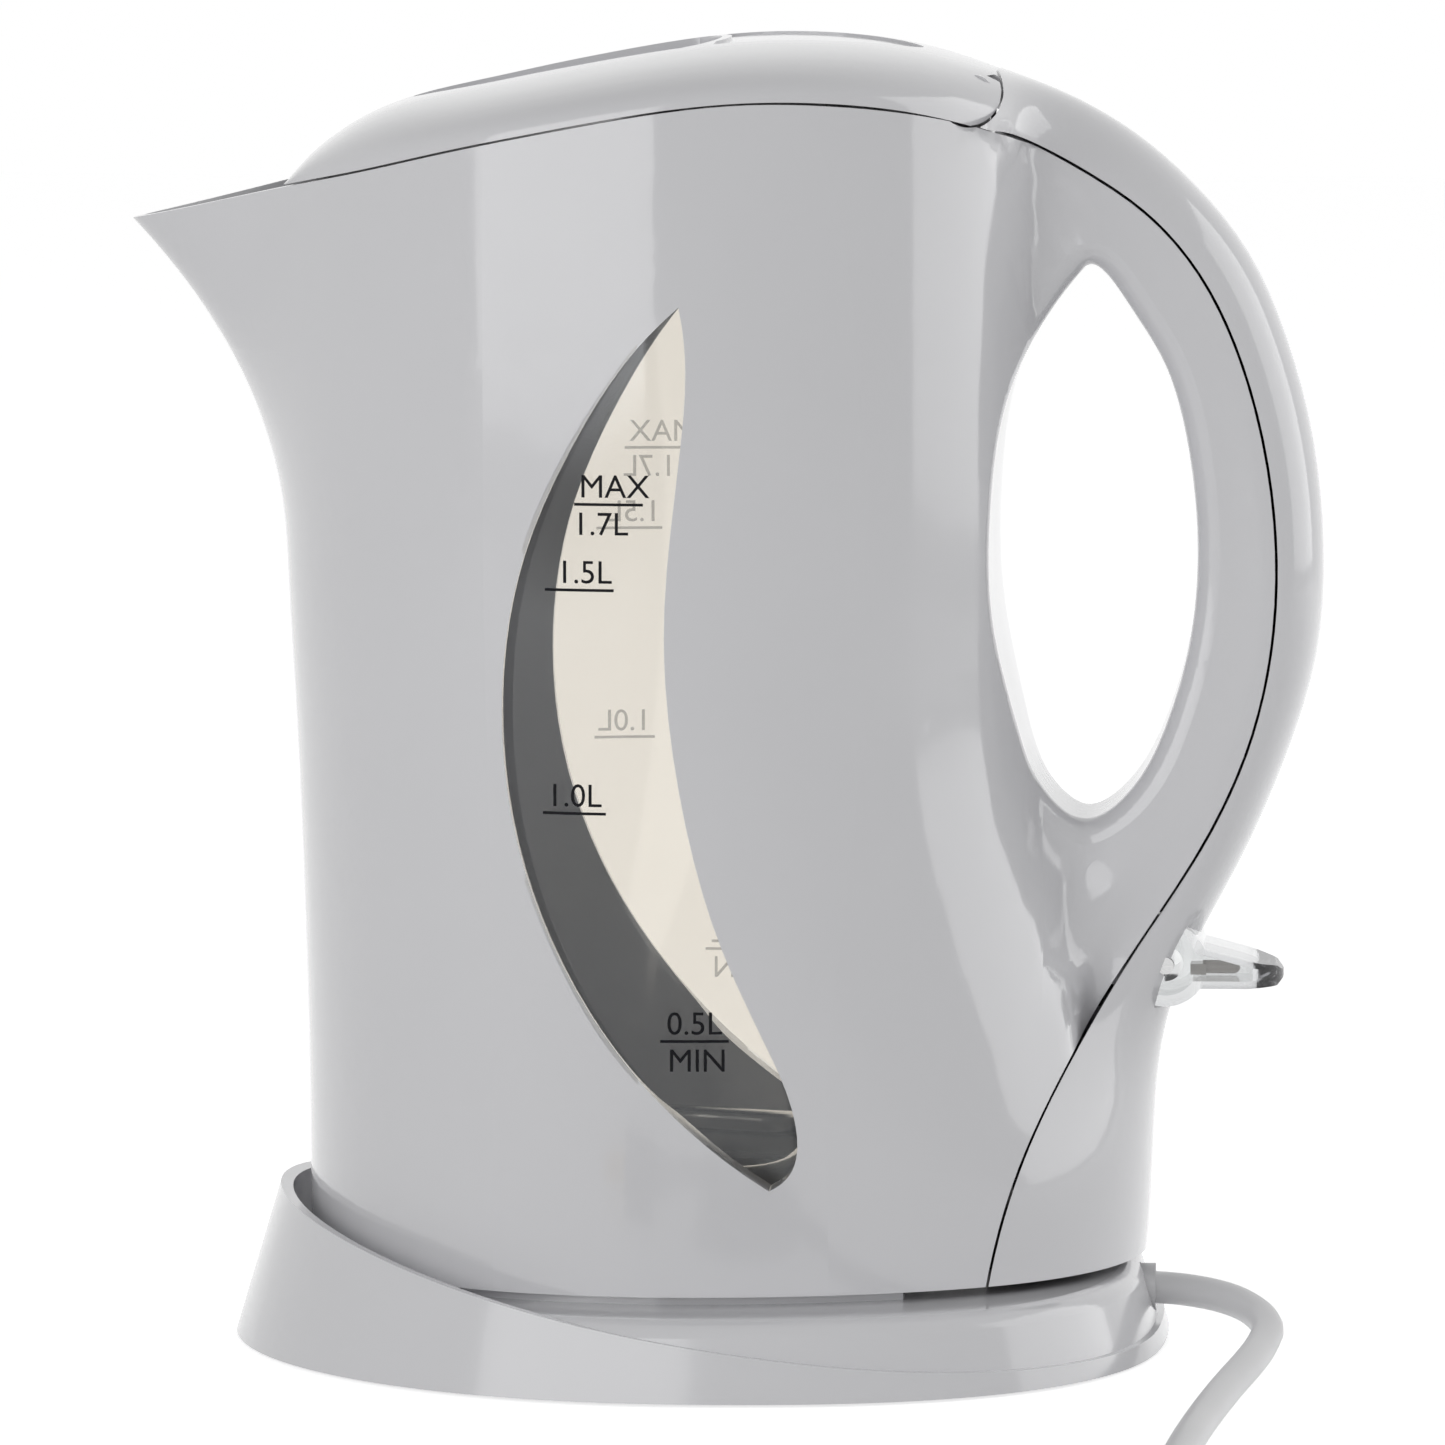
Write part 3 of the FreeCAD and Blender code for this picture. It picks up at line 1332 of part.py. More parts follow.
def plug_pins():
    x, y, z = tail_rise[-1]
    face = x - plug_boot_length + 1 - plug_length
    return Part.makeCompound([rod(plug_pin_radius, (face + 8, y + i * plug_pin_pitch, z),
                                  (face - plug_pin_length, y + i * plug_pin_pitch, z)) for i in (-1, 0, 1)])


route, route_radii = rounded_path(cord_route)
cord = pipe(route, cord_radius)
coil, coil_path = cord_coil()
coil_end = coil_path.Edges[-1].valueAt(coil_path.Edges[-1].LastParameter)
tail_path, tail_radii = rounded_path([coil_end] + tail_rise)
tail = pipe(tail_path, cord_radius)
section = math.pi * cord_radius ** 2
print("cord radii", [round(r, 1) for r in route_radii + tail_radii])
print("cord volume over section times length", [round(s.Volume / (section * p.Length), 4)
                                                for s, p in ((cord, route), (coil, coil_path), (tail, tail_path))])
print("lead length", round(route.Length + coil_path.Length + tail_path.Length, 1))
print("coil least gap to itself", round(least_self_gap(), 2))

put("base_cover", base_cover(), 0.0)
put("base_bottom_plate", bottom_plate(), 0.0)
put("base_screws", base_screws(), 0.0)
put("base_feet", base_feet(), 0.0)
put("socket_housing", socket_housing(), 0.0)
put("socket_contacts", socket_contacts(), 0.0)
put("cord_bush", cord_bush(), 0.0)
put("cord_clamp", cord_clamp(), 0.0)
put("cord_clamp_screws", clamp_screws(), 0.0)
put("mains_cord", cord, 0.0)
put("cord_coil", coil, 0.0)
put("cord_tail", tail, 0.0)
put("cord_tie", cord_tie(), 0.0)
put("plug_body", plug_body(), 0.0)
put("plug_pins", plug_pins(), 0.0)

for name, shape in nodes.items():
    shape.exportStep("parts/" + name + ".step")
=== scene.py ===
import math

import bpy
import numpy as np
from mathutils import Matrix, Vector


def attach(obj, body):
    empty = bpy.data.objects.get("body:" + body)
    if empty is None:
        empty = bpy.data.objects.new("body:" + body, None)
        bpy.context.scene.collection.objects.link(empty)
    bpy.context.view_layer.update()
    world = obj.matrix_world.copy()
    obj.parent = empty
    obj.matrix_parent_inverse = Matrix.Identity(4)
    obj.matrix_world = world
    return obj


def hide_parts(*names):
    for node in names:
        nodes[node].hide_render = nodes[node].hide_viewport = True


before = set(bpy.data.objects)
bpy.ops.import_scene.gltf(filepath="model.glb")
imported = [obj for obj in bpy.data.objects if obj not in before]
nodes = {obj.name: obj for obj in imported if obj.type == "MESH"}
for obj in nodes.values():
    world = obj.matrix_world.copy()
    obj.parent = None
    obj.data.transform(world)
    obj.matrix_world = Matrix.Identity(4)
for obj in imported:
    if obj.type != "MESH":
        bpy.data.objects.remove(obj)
scene = bpy.context.scene
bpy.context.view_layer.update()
print("frame:", len(nodes), "nodes")


# camera, at the photo's angle

camera = {"target": (-0.0008, 0.0, 0.110), "azimuth": 3.44, "elevation": 6.0, "distance": 1.85, "lens": 257.2,
          "sensor": 36, "farEnd": 20}


def makeCamera(values):
    a = math.radians(values["azimuth"])
    e = math.radians(values["elevation"])
    back = Vector((math.sin(a) * math.cos(e), -math.cos(a) * math.cos(e), math.sin(e)))
    data = bpy.data.cameras.new("camera")
    data.lens = values["lens"]
    data.sensor_width = values["sensor"]
    data.clip_end = values["farEnd"]
    cam = bpy.data.objects.new("camera", data)
    cam.location = Vector(values["target"]) + back * values["distance"]
    cam.rotation_mode = "QUATERNION"
    cam.rotation_quaternion = (-back).to_track_quat("-Z", "Y")
    scene.collection.objects.link(cam)
    scene.camera = cam


makeCamera(camera)
print("camera set")


# node helpers

def newGroup(name, inputs, outputs):
    group = bpy.data.node_groups.new(name, "ShaderNodeTree")
    for label, kind, value in inputs:
        socket = group.interface.new_socket(label, in_out="INPUT", socket_type=kind)
        socket.default_value = value
    for label, kind in outputs:
        group.interface.new_socket(label, in_out="OUTPUT", socket_type=kind)
    return group, group.nodes.new("NodeGroupInput"), group.nodes.new("NodeGroupOutput")


def addNode(tree, kind, **values):
    node = tree.nodes.new(kind)
    for key, value in values.items():
        setattr(node, key, value)
    return node


def noiseNode(tree, coords, scale, detail=3.0, roughness=0.5):
    noise = addNode(tree, "ShaderNodeTexNoise")
    noise.inputs["Scale"].default_value = scale
    noise.inputs["Detail"].default_value = detail
    noise.inputs["Roughness"].default_value = roughness
    tree.links.new(coords, noise.inputs["Vector"])
    return noise


def rangeNode(tree, value, low, high, fromLow=0.3, fromHigh=0.7):
    node = addNode(tree, "ShaderNodeMapRange", clamp=True)
    node.inputs["From Min"].default_value = fromLow
    node.inputs["From Max"].default_value = fromHigh
    node.inputs["To Min"].default_value = low
    node.inputs["To Max"].default_value = high
    tree.links.new(value, node.inputs["Value"])
    return node.outputs["Result"]


# moulded plastic: faint cloudiness in the colour, smudges in the gloss and a fine mould grain

def mouldedGroup():
    group, enter, leave = newGroup(
        "moulded",
        [("Color", "NodeSocketColor", (0.8, 0.8, 0.8, 1)), ("Shade", "NodeSocketFloat", 0.03),
         ("Gloss", "NodeSocketFloat", 0.2), ("Smudge", "NodeSocketFloat", 0.06)],
        [("Color", "NodeSocketColor"), ("Roughness", "NodeSocketFloat"), ("Height", "NodeSocketFloat")])
    coords = addNode(group, "ShaderNodeTexCoord").outputs["Object"]
    broad = noiseNode(group, coords, scale=22.0, detail=2.0)
    smear = noiseNode(group, coords, scale=60.0, detail=4.0, roughness=0.6)
    grain = noiseNode(group, coords, scale=2600.0, detail=1.0)
    swing = addNode(group, "ShaderNodeMath", operation="MULTIPLY_ADD")
    swing.inputs[2].default_value = 1.0
    group.links.new(rangeNode(group, broad.outputs["Fac"], low=-1.0, high=1.0), swing.inputs[0])
    group.links.new(enter.outputs["Shade"], swing.inputs[1])
    tint = addNode(group, "ShaderNodeVectorMath", operation="SCALE")
    group.links.new(enter.outputs["Color"], tint.inputs[0])
    group.links.new(swing.outputs[0], tint.inputs["Scale"])
    gloss = addNode(group, "ShaderNodeMath", operation="MULTIPLY_ADD")
    group.links.new(rangeNode(group, smear.outputs["Fac"], low=0.0, high=1.0), gloss.inputs[0])
    group.links.new(enter.outputs["Smudge"], gloss.inputs[1])
    group.links.new(enter.outputs["Gloss"], gloss.inputs[2])
    group.links.new(tint.outputs[0], leave.inputs["Color"])
    group.links.new(gloss.outputs[0], leave.inputs["Roughness"])
    group.links.new(grain.outputs["Fac"], leave.inputs["Height"])
    return group


# bright metal: drawn streaks along X and small stains

def drawnGroup():
    group, enter, leave = newGroup(
        "drawn",
        [("Color", "NodeSocketColor", (0.6, 0.6, 0.6, 1)), ("Gloss", "NodeSocketFloat", 0.25),
         ("Streak", "NodeSocketFloat", 0.15)],
        [("Color", "NodeSocketColor"), ("Roughness", "NodeSocketFloat"), ("Height", "NodeSocketFloat")])
    coords = addNode(group, "ShaderNodeTexCoord").outputs["Object"]
    stretch = addNode(group, "ShaderNodeVectorMath", operation="MULTIPLY")
    stretch.inputs[1].default_value = (60.0, 1600.0, 1600.0)
    group.links.new(coords, stretch.inputs[0])
    streaks = noiseNode(group, stretch.outputs[0], scale=1.0, detail=3.0, roughness=0.6)
    stains = noiseNode(group, coords, scale=90.0, detail=3.0)
    gloss = addNode(group, "ShaderNodeMath", operation="MULTIPLY_ADD")
    group.links.new(rangeNode(group, streaks.outputs["Fac"], low=0.0, high=1.0), gloss.inputs[0])
    group.links.new(enter.outputs["Streak"], gloss.inputs[1])
    group.links.new(enter.outputs["Gloss"], gloss.inputs[2])
    tint = addNode(group, "ShaderNodeVectorMath", operation="SCALE")
    group.links.new(enter.outputs["Color"], tint.inputs[0])
    group.links.new(rangeNode(group, stains.outputs["Fac"], low=0.86, high=1.06), tint.inputs["Scale"])
    group.links.new(tint.outputs[0], leave.inputs["Color"])
    group.links.new(gloss.outputs[0], leave.inputs["Roughness"])
    group.links.new(streaks.outputs["Fac"], leave.inputs["Height"])
    return group


moulded = mouldedGroup()
drawn = drawnGroup()


def makeMaterial(name, group, values, bump=0.02, distance=0.0002, constants=None):
    material = bpy.data.materials.new(name)
    material.use_nodes = True
    tree = material.node_tree
    shader = tree.nodes["Principled BSDF"]
    surface = addNode(tree, "ShaderNodeGroup")
    surface.node_tree = group
    for key, value in values.items():
        surface.inputs[key].default_value = value
    tree.links.new(surface.outputs["Color"], shader.inputs["Base Color"])
    tree.links.new(surface.outputs["Roughness"], shader.inputs["Roughness"])
    relief = addNode(tree, "ShaderNodeBump")
    relief.inputs["Strength"].default_value = bump
    relief.inputs["Distance"].default_value = distance
    tree.links.new(surface.outputs["Height"], relief.inputs["Height"])
    tree.links.new(relief.outputs["Normal"], shader.inputs["Normal"])
    for key, value in (constants or {}).items():
        shader.inputs[key].default_value = value
    return material


# clear plastic: a tinted film, with a mirror gloss that grows towards the edges

def makeClear(name, tint, mirror, ior, values):
    surface = {"Color": mirror, "Shade": 0.02, **values}
    material = makeMaterial(name, moulded, surface, constants={"Metallic": 1.0})
    tree = material.node_tree
    film = addNode(tree, "ShaderNodeBsdfTransparent")
    film.inputs["Color"].default_value = tint
    edge = addNode(tree, "ShaderNodeFresnel")
    edge.inputs["IOR"].default_value = ior
    mix = addNode(tree, "ShaderNodeMixShader")
    tree.links.new(edge.outputs[0], mix.inputs[0])
    tree.links.new(film.outputs[0], mix.inputs[1])
    tree.links.new(tree.nodes["Principled BSDF"].outputs[0], mix.inputs[2])
    tree.links.new(mix.outputs[0], tree.nodes["Material Output"].inputs["Surface"])
    return material


bodyPlastic = makeMaterial(
    "bodyPlastic", moulded, {"Color": (0.74, 0.74, 0.76, 1), "Shade": 0.008, "Gloss": 0.10, "Smudge": 0.03},
    constants={"Coat Weight": 0.4, "Coat Roughness": 0.04, "Specular IOR Level": 0.5})
basePlastic = makeMaterial(
    "basePlastic", moulded, {"Color": (0.75, 0.75, 0.77, 1), "Shade": 0.008, "Gloss": 0.14, "Smudge": 0.025},
    constants={"Coat Weight": 0.3, "Coat Roughness": 0.06})
windowPlastic = makeClear(
    "windowPlastic", (0.930, 0.914, 0.885, 1), (0.90, 0.94, 1.0, 1), 1.50, {"Gloss": 0.03, "Smudge": 0.03})
clearPlastic = makeClear(
    "clearPlastic", (0.90, 0.905, 0.905, 1), (0.80, 0.80, 0.81, 1), 1.60, {"Gloss": 0.04, "Smudge": 0.04})
darkPlastic = makeMaterial(
    "darkPlastic", moulded, {"Color": (0.03, 0.03, 0.032, 1), "Shade": 0.12, "Gloss": 0.4, "Smudge": 0.12},
    bump=0.08)
cordPlastic = makeMaterial(
    "cordPlastic", moulded, {"Color": (0.76, 0.76, 0.77, 1), "Shade": 0.02, "Gloss": 0.32, "Smudge": 0.08},
    bump=0.05)
footRubber = makeMaterial(
    "footRubber", moulded, {"Color": (0.16, 0.16, 0.16, 1), "Shade": 0.1, "Gloss": 0.7, "Smudge": 0.1},
    bump=0.2)
steel = makeMaterial(
    "steel", drawn, {"Color": (0.58, 0.58, 0.58, 1), "Gloss": 0.22, "Streak": 0.16},
    constants={"Metallic": 1.0})
elementSteel = makeMaterial(
    "elementSteel", drawn, {"Color": (0.55, 0.54, 0.52, 1), "Gloss": 0.16, "Streak": 0.1},
    constants={"Metallic": 1.0})
brass = makeMaterial(
    "brass", drawn, {"Color": (0.72, 0.52, 0.22, 1), "Gloss": 0.2, "Streak": 0.12},
    constants={"Metallic": 1.0})
lampGlass = makeMaterial(
    "lampGlass", moulded, {"Color": (0.72, 0.66, 0.60, 1), "Shade": 0.1, "Gloss": 0.08, "Smudge": 0.04},
    constants={"Alpha": 0.75, "Coat Weight": 0.7, "Coat Roughness": 0.03})
markInk = makeMaterial(
    "markInk", moulded, {"Color": (0.008, 0.008, 0.010, 1), "Shade": 0.1, "Gloss": 0.5, "Smudge": 0.1},
    constants={"Specular IOR Level": 0.1})


def thinFromBehind(material, cover):
    tree = material.node_tree
    side = addNode(tree, "ShaderNodeNewGeometry")
    alpha = addNode(tree, "ShaderNodeMath", operation="MULTIPLY_ADD")
    alpha.inputs[1].default_value = cover - 1
    alpha.inputs[2].default_value = 1.0
    tree.links.new(side.outputs["Backfacing"], alpha.inputs[0])
    tree.links.new(alpha.outputs[0], tree.nodes["Principled BSDF"].inputs["Alpha"])


thinFromBehind(markInk, 0.5)  # the print lets some light through, so its back looks grey

finishes = {
    "base_cover": basePlastic, "base_bottom_plate": basePlastic, "base_feet": footRubber,
    "base_screws": steel, "socket_housing": darkPlastic, "socket_contacts": brass, "cord_bush": cordPlastic,
    "cord_clamp": darkPlastic, "cord_clamp_screws": steel, "mains_cord": cordPlastic,
    "cord_coil": cordPlastic, "cord_tie": darkPlastic, "cord_tail": cordPlastic,
    "plug_body": cordPlastic, "plug_pins": brass,
    "jug_body": bodyPlastic, "water_window_left": windowPlastic, "water_window_right": windowPlastic,
    "handle_cover": bodyPlastic, "jug_bottom_cover": darkPlastic, "jug_bottom_screws": steel,
    "element_head": elementSteel, "element_seal": footRubber, "element_coil": elementSteel,
    "control_body": darkPlastic, "control_screws": steel, "boil_dry_disc": steel, "steam_disc": steel,
    "inlet_pins": brass, "steam_tube": darkPlastic, "switch_pivot_pin": steel, "lid_hinge_pins": bodyPlastic,
    "lid_top": bodyPlastic, "lid_under_plate": bodyPlastic, "lid_screws": steel, "switch_lever": clearPlastic,
    "pilot_lamp": lampGlass, "contact_pusher": darkPlastic}
for name, finish in finishes.items():
    nodes[name].data.materials.clear()
    nodes[name].data.materials.append(finish)
print("materials on", len(finishes), "nodes")


# mains lead: from the base's rear wall round to the front, then the put-away coil and the plug

lead = {"exit": (0.0745, 0.0, 0.0085), "diameter": 0.0058, "length": 0.715,
        "run": [(0.0745, 0.0, 0.0085), (0.081, 0.0, 0.0085), (0.0923, -0.007, 0.0074),
                (0.0981, -0.019, 0.0050), (0.0966, -0.0324, 0.0033), (0.0942, -0.050, 0.0029),
                (0.0908, -0.074, 0.0029), (0.0872, -0.104, 0.0029), (0.0840, -0.136, 0.0029),
                (0.0822, -0.166, 0.0033), (0.0812, -0.196, 0.0039)],
        "coilCentre": (0.046, -0.226, 0.0039), "coilRadius": 0.0352, "coilPitch": 0.0074, "layerStep": 0.0064,
        "turnsIn": 1.0, "turnsUp": 0.5, "turnsOut": 0.75, "pointsPerTurn": 16, "spread": 1.01,
        "roundSteps": 5, "curveSteps": 6,
        "tail": [(0.0295, -0.25935, 0.0103), (0.018, -0.2602, 0.0096), (0.006, -0.2612, 0.0085),
                 (-0.005, -0.2612, 0.0085)]}


def coilPoints(values):
    # x, y = centre + r(t) * (cos, -sin)(2 pi t), r falls by the pitch per turn,
    # then grows again a layer higher; the control points lie a little outside the turns
    total = values["turnsIn"] + values["turnsUp"] + values["turnsOut"]
    turn = np.linspace(0, total, int(total * values["pointsPerTurn"]) + 1)
    inward = np.minimum(turn, values["turnsIn"])
    outward = np.maximum(turn - values["turnsIn"] - values["turnsUp"], 0)
    radius = values["coilRadius"] - values["coilPitch"] * (inward - outward)
    rise = np.clip((turn - values["turnsIn"]) / values["turnsUp"], 0, 1)
    height = values["layerStep"] * rise * rise * (3 - 2 * rise)
    centre = values["coilCentre"]
    wide = radius * values["spread"]
    angle = 2 * np.pi * turn
    x = centre[0] + wide * np.cos(angle)
    y = centre[1] - wide * np.sin(angle)
    return np.stack([x, y, centre[2] + height], 1)


def makeLead(values):
    points = np.concatenate([values["run"], coilPoints(values), values["tail"]])
    curve = bpy.data.curves.new("mainsLead", "CURVE")
    curve.dimensions = "3D"
    curve.bevel_depth = values["diameter"] / 2
    curve.bevel_resolution = values["roundSteps"]
    curve.resolution_u = values["curveSteps"]
    curve.use_fill_caps = True
    spline = curve.splines.new("NURBS")
    spline.points.add(len(points) - 1)
    spline.points.foreach_set("co", np.concatenate([points, np.ones((len(points), 1))], 1).ravel())
    spline.order_u = 3
    spline.use_endpoint_u = True
    obj = bpy.data.objects.new("mainsLead", curve)
    scene.collection.objects.link(obj)
    curve.materials.append(cordPlastic)
    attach(obj, "power_base")
    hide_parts("mains_cord", "cord_coil", "cord_tail")


makeLead(lead)
print("lead laid")


# side of the jug at x and height z above its bottom edge:
# front ellipse, or the rear curve that tightens towards the top

jug = {"bottom": 0.016, "halfWidth": 0.064, "centre": -0.0105, "front": 0.0643, "swell": 0.0036,
       "swellHeight": 0.119, "rear": 0.066, "tail": 0.0865, "tailHeight": 0.100, "power": 2.1}


def sideWidth(x, z):
    # y = w (1 - |x - c|^n / reach^n)^(1/n), n = 2 in front of the centre
    x = np.asarray(x, float)
    z = np.asarray(z, float)
    front = jug["front"] + jug["swell"] * np.clip(z / jug["swellHeight"], 0, 1) ** 2
    t = np.clip(z / jug["tailHeight"], 0, 1)
    rear = jug["tail"] + (jug["rear"] - jug["tail"]) * t * t * (3 - 2 * t)
    ahead = np.sqrt(np.clip(1 - ((jug["centre"] - x) / front) ** 2, 0, 1))
    share = np.clip((x - jug["centre"]) / rear, 0, 1)
    behind = np.clip(1 - share ** jug["power"], 0, 1) ** (1 / jug["power"])
    return jug["halfWidth"] * np.where(x < jug["centre"], ahead, behind)


# clear crescent windows, flush with the wall, their edges let into it

window = {"front": [(-0.0046, 0.1725), (-0.0119, 0.1652), (-0.0234, 0.1478), (-0.0318, 0.1285),
                    (-0.0356, 0.1040), (-0.0326, 0.0779), (-0.0216, 0.0520), (-0.0084, 0.0347),
                    (0.0110, 0.0186)],
          "rear": [(-0.0046, 0.1725), (-0.0034, 0.1620), (-0.0043, 0.1479), (-0.0071, 0.1176),
                   (-0.0043, 0.0872), (0.0029, 0.0609), (0.0108, 0.0433), (0.0156, 0.0300),
                   (0.0152, 0.0225), (0.0110, 0.0186)],
          "sink": 0.00006, "wall": 0.0023, "letIn": 0.0007, "rows": 90, "columns": 20, "sharpAngle": 40}


def smoothLine(points, steps=16):
    # Catmull-Rom: p = (2 p1 + (p2 - p0) t + (2 p0 - 5 p1 + 4 p2 - p3) t^2
    #                   + (3 p1 - p0 - 3 p2 + p3) t^3) / 2
    p = np.asarray(points, float)
    p = np.concatenate([[2 * p[0] - p[1]], p, [2 * p[-1] - p[-2]]])
    t = np.linspace(0, 1, steps, endpoint=False)[None, :, None]
    a, b, c, d = (p[i:len(p) - 3 + i, None, :] for i in range(4))
    line = (2 * b + (c - a) * t + (2 * a - 5 * b + 4 * c - d) * t ** 2 + (3 * b - a - 3 * c + d) * t ** 3) / 2
    return np.concatenate([line.reshape(-1, p.shape[1]), p[-2:-1]])


def gridFaces(rows, columns, start=0, flip=False):
    index = start + np.arange(rows * columns).reshape(rows, columns)
    faces = np.stack([index[:-1, :-1], index[:-1, 1:], index[1:, 1:], index[1:, :-1]], -1).reshape(-1, 4)
    return faces[:, ::-1] if flip else faces


def makeWindow(name, node, side, values):
    # x runs from the front edge to the rear edge at each height, y = sideWidth(x, z);
    # the inner face lies one wall deeper
    front = smoothLine(values["front"])
    rear = smoothLine(values["rear"])
    rows = values["rows"]
    columns = values["columns"]
    top = values["front"][0][1]
    foot = values["front"][-1][1]
    z = top + (foot - top) * (1 - np.cos(np.linspace(0, np.pi, rows))) / 2
    z[0] += values["letIn"]
    z[-1] -= values["letIn"]
    left = np.interp(-z, -front[:, 1], front[:, 0]) - values["letIn"]
    right = np.interp(-z, -rear[:, 1], rear[:, 0]) + values["letIn"]
    u = np.linspace(0, 1, columns)
    x = left[:, None] + (right - left)[:, None] * u
    height = np.repeat(z[:, None], columns, 1)
    y = sideWidth(x, height) - values["sink"]
    outer = np.stack([x, side * y, height + jug["bottom"]], -1).reshape(-1, 3)
    inner = np.stack([x, side * (y - values["wall"]), height + jug["bottom"]], -1).reshape(-1, 3)
    count = rows * columns
    index = np.arange(count).reshape(rows, columns)
    loop = np.concatenate([index[0, :-1], index[:-1, -1], index[-1, :0:-1], index[:0:-1, 0]])
    after = np.roll(loop, -1)
    rim = np.stack([after, loop, loop + count, after + count], 1)
    faces = np.concatenate([gridFaces(rows, columns, 0, True), gridFaces(rows, columns, count), rim[:, ::-1]])
    if side > 0:
        faces = faces[:, ::-1]
    mesh = bpy.data.meshes.new(name)
    mesh.from_pydata(np.concatenate([outer, inner]).tolist(), [], faces.tolist())
    mesh.shade_smooth()
    mesh.set_sharp_from_angle(angle=math.radians(values["sharpAngle"]))
    obj = bpy.data.objects.new(name, mesh)
    scene.collection.objects.link(obj)
    mesh.materials.append(windowPlastic)
    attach(obj, "jug")
    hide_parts(node)


makeWindow("waterWindowLeft", "water_window_left", -1, window)
makeWindow("waterWindowRight", "water_window_right", 1, window)
print("windows set in")


# printed scale on both windows: a line and its words per mark, on the outside of the clear wall

marks = {"ink": 0.00008, "textHeight": 0.0041, "capShare": 0.72, "lineHeight": 0.0005, "space": 0.0012,
         "steps": 13, "curveSteps": 4,
         "rows": [(-0.0227, -0.0107, 0.1384, ("MAX", 0.0010), ("1.7L", -0.0014)),
                  (-0.0279, -0.0158, 0.1235, ("1.5L", 0.0009), None),
                  (-0.0283, -0.0172, 0.0846, ("1.0L", 0.0), None),
                  (-0.0078, 0.0041, 0.0450, ("0.5L", 0.0), ("MIN", 0.0005))]}


def wordMesh(text, x, z, size, side):
    font = bpy.data.curves.new("word", "FONT")
    font.body = text
    font.size = size / marks["capShare"]
    font.align_x = "CENTER"
    font.resolution_u = marks["curveSteps"]
    holder = bpy.data.objects.new("word", font)
    mesh = bpy.data.meshes.new_from_object(holder)
    co = np.zeros(len(mesh.vertices) * 3, np.float32)
    mesh.vertices.foreach_get("co", co)
    co = co.reshape(-1, 3)
    faces = [tuple(p.vertices) for p in mesh.polygons]
    bpy.data.objects.remove(holder)
    bpy.data.curves.remove(font)
    bpy.data.meshes.remove(mesh)
    return np.stack([x - side * co[:, 0], z + co[:, 1]], 1), faces


def makeMarks(name, side, values):
    # flat words and lines in x, z are laid on the wall: y = sideWidth(x, z) + ink
    flat = []
    faces = []
    tall = values["textHeight"]
    count = values["steps"]

    def addPart(points, partFaces):
        start = sum(len(p) for p in flat)
        flat.append(points)
        faces.extend(tuple(i + start for i in f) for f in partFaces)

    for x0, x1, z, above, below in values["rows"]:
        steps = np.linspace(x0, x1, count)
        low = np.stack([steps, np.full(count, z - values["lineHeight"] / 2)], 1)
        high = np.stack([steps, np.full(count, z + values["lineHeight"] / 2)], 1)
        quads = [(i, i + 1, i + count + 1, i + count) for i in range(count - 1)]
        addPart(np.concatenate([low, high][::-side]), quads)  # the far side's quads turn round
        middle = (x0 + x1) / 2
        addPart(*wordMesh(above[0], middle + above[1], z + values["space"], tall, side))
        if below:
            addPart(*wordMesh(below[0], middle + below[1], z - values["space"] - tall, tall, side))
    points = np.concatenate(flat)
    y = sideWidth(points[:, 0], points[:, 1]) + values["ink"]
    co = np.stack([points[:, 0], side * y, points[:, 1] + jug["bottom"]], 1)
    mesh = bpy.data.meshes.new(name)
    mesh.from_pydata(co.tolist(), [], faces)
    obj = bpy.data.objects.new(name, mesh)
    scene.collection.objects.link(obj)
    mesh.materials.append(markInk)
    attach(obj, "jug")


makeMarks("windowMarksLeft", -1, marks)
makeMarks("windowMarksRight", 1, marks)
print("marks printed")


# floor, white surroundings and studio lights

stage = {"floorColor": (0.9, 0.9, 0.9, 1), "floorSize": 8.0, "floorWhite": 0.68, "world": 0.32}


def seenDirectly(tree):
    path = addNode(tree, "ShaderNodeLightPath")
    first = addNode(tree, "ShaderNodeMath", operation="MAXIMUM")
    second = addNode(tree, "ShaderNodeMath", operation="MAXIMUM")
    tree.links.new(path.outputs["Is Camera Ray"], first.inputs[0])
    tree.links.new(path.outputs["Is Glossy Ray"], first.inputs[1])
    tree.links.new(first.outputs[0], second.inputs[0])
    tree.links.new(path.outputs["Is Transmission Ray"], second.inputs[1])
    return second.outputs[0]


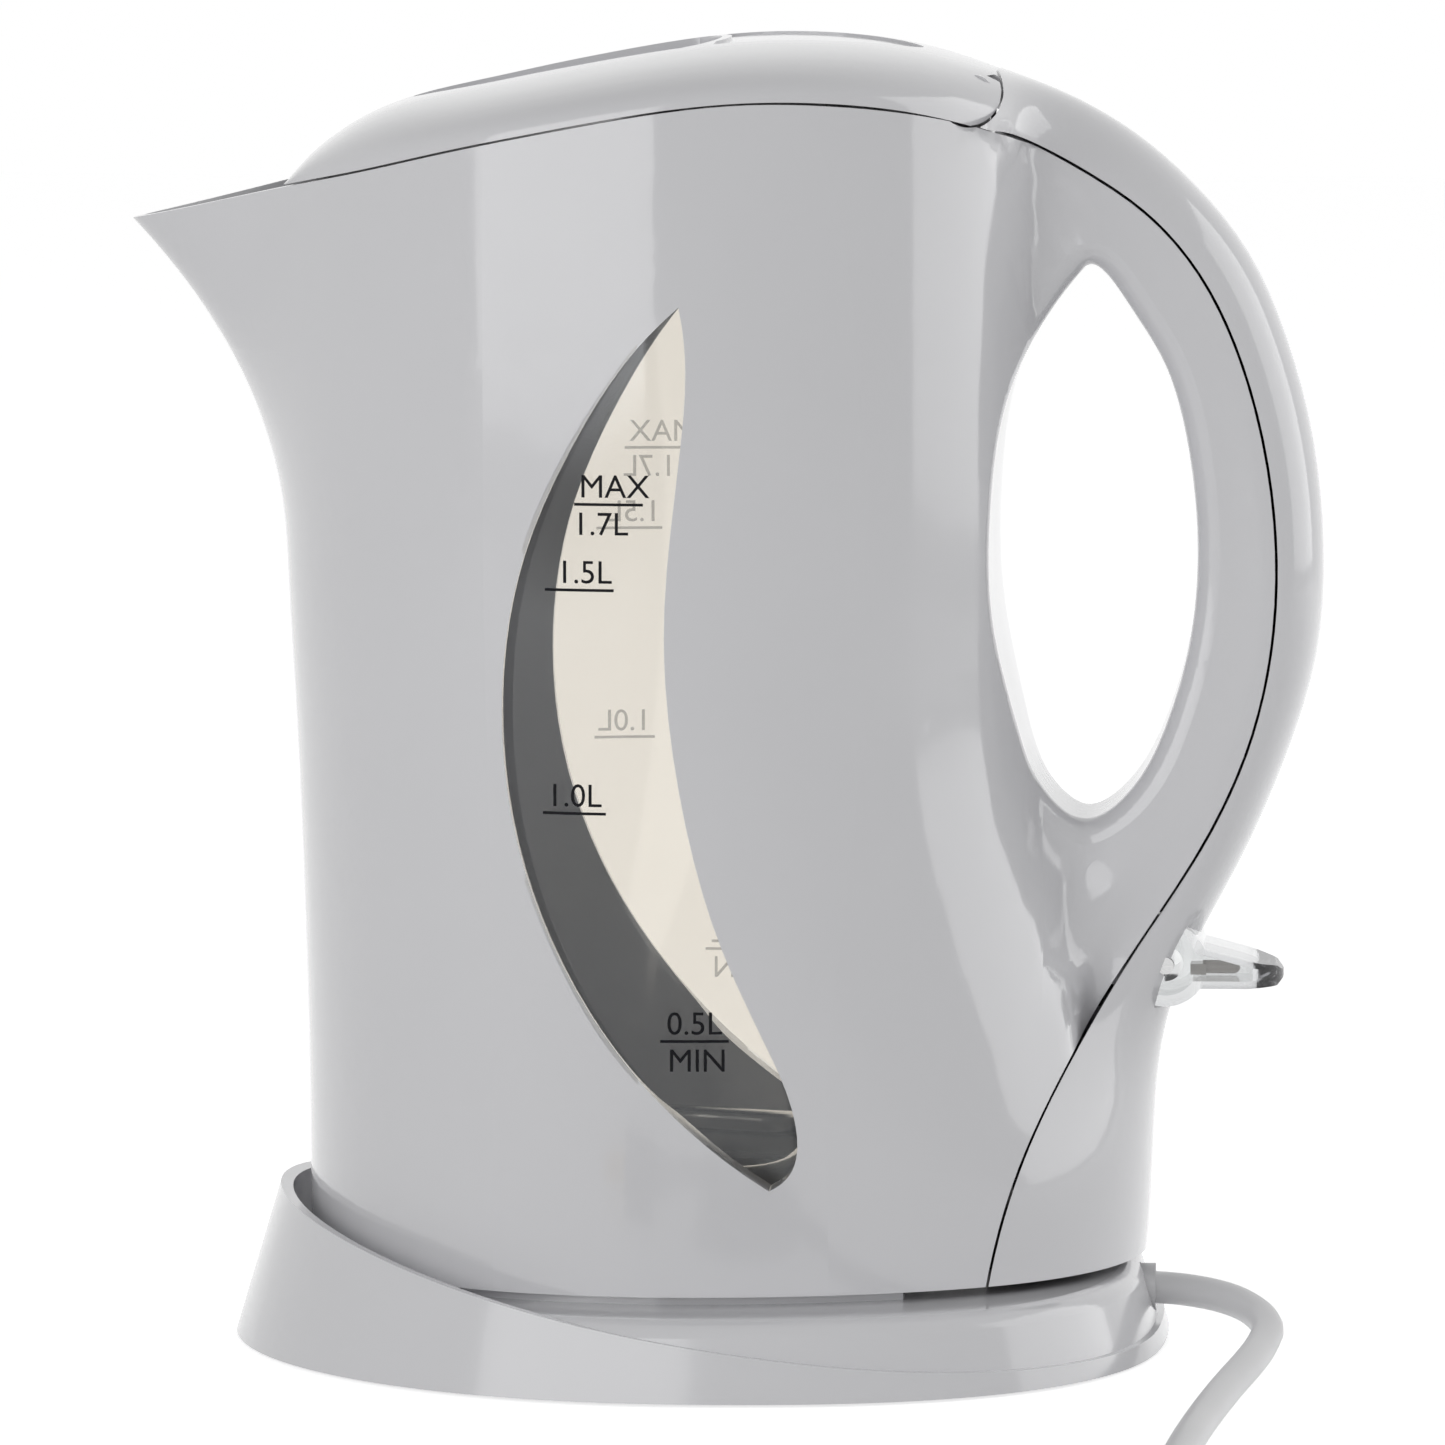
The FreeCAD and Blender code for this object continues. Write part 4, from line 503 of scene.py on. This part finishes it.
def makeStage(values):
    half = values["floorSize"] / 2
    mesh = bpy.data.meshes.new("floor")
    corners = [(-half, -half, 0), (half, -half, 0), (half, half, 0), (-half, half, 0)]
    mesh.from_pydata(corners, [], [(0, 1, 2, 3)])
    floor = bpy.data.objects.new("floor", mesh)
    scene.collection.objects.link(floor)
    material = bpy.data.materials.new("floorPaper")
    material.use_nodes = True
    tree = material.node_tree
    shader = tree.nodes["Principled BSDF"]
    shader.inputs["Base Color"].default_value = values["floorColor"]
    shader.inputs["Roughness"].default_value = 0.9
    shader.inputs["Specular IOR Level"].default_value = 0.1
    shader.inputs["Emission Color"].default_value = (1, 1, 1, 1)
    glow = addNode(tree, "ShaderNodeMath", operation="MULTIPLY")
    glow.inputs[1].default_value = values["floorWhite"]
    tree.links.new(seenDirectly(tree), glow.inputs[0])
    tree.links.new(glow.outputs[0], shader.inputs["Emission Strength"])
    mesh.materials.append(material)
    world = bpy.data.worlds.new("studio")
    world.use_nodes = True
    tree = world.node_tree
    plain = tree.nodes["Background"]
    plain.inputs["Color"].default_value = (1, 1, 1, 1)
    plain.inputs["Strength"].default_value = values["world"]
    white = addNode(tree, "ShaderNodeBackground")
    white.inputs["Color"].default_value = (1, 1, 1, 1)
    white.inputs["Strength"].default_value = 1.0
    mix = addNode(tree, "ShaderNodeMixShader")
    tree.links.new(seenDirectly(tree), mix.inputs[0])
    tree.links.new(plain.outputs[0], mix.inputs[1])
    tree.links.new(white.outputs[0], mix.inputs[2])
    tree.links.new(mix.outputs[0], tree.nodes["World Output"].inputs["Surface"])
    scene.world = world


lights = [
    {"name": "leftSoftbox", "at": (-0.78, -1.42, 0.52), "to": (-0.02, 0, 0.45),
     "size": (1.5, 0.95), "power": 9.0},
    {"name": "rightSoftbox", "at": (1.3, 0.30, 0.58), "to": (0.03, 0, 0.45),
     "size": (1.3, 1.1), "power": 6.5}]


def makeLights(rows):
    for row in rows:
        data = bpy.data.lights.new(row["name"], "AREA")
        data.shape = "RECTANGLE"
        data.size, data.size_y = row["size"]
        data.energy = row["power"]
        obj = bpy.data.objects.new(row["name"], data)
        obj.location = row["at"]
        obj.rotation_mode = "QUATERNION"
        obj.rotation_quaternion = (Vector(row["to"]) - Vector(row["at"])).to_track_quat("-Z", "Y")
        scene.collection.objects.link(obj)


makeStage(stage)
makeLights(lights)
scene.view_settings.view_transform = "Standard"
print("stage and lights set")
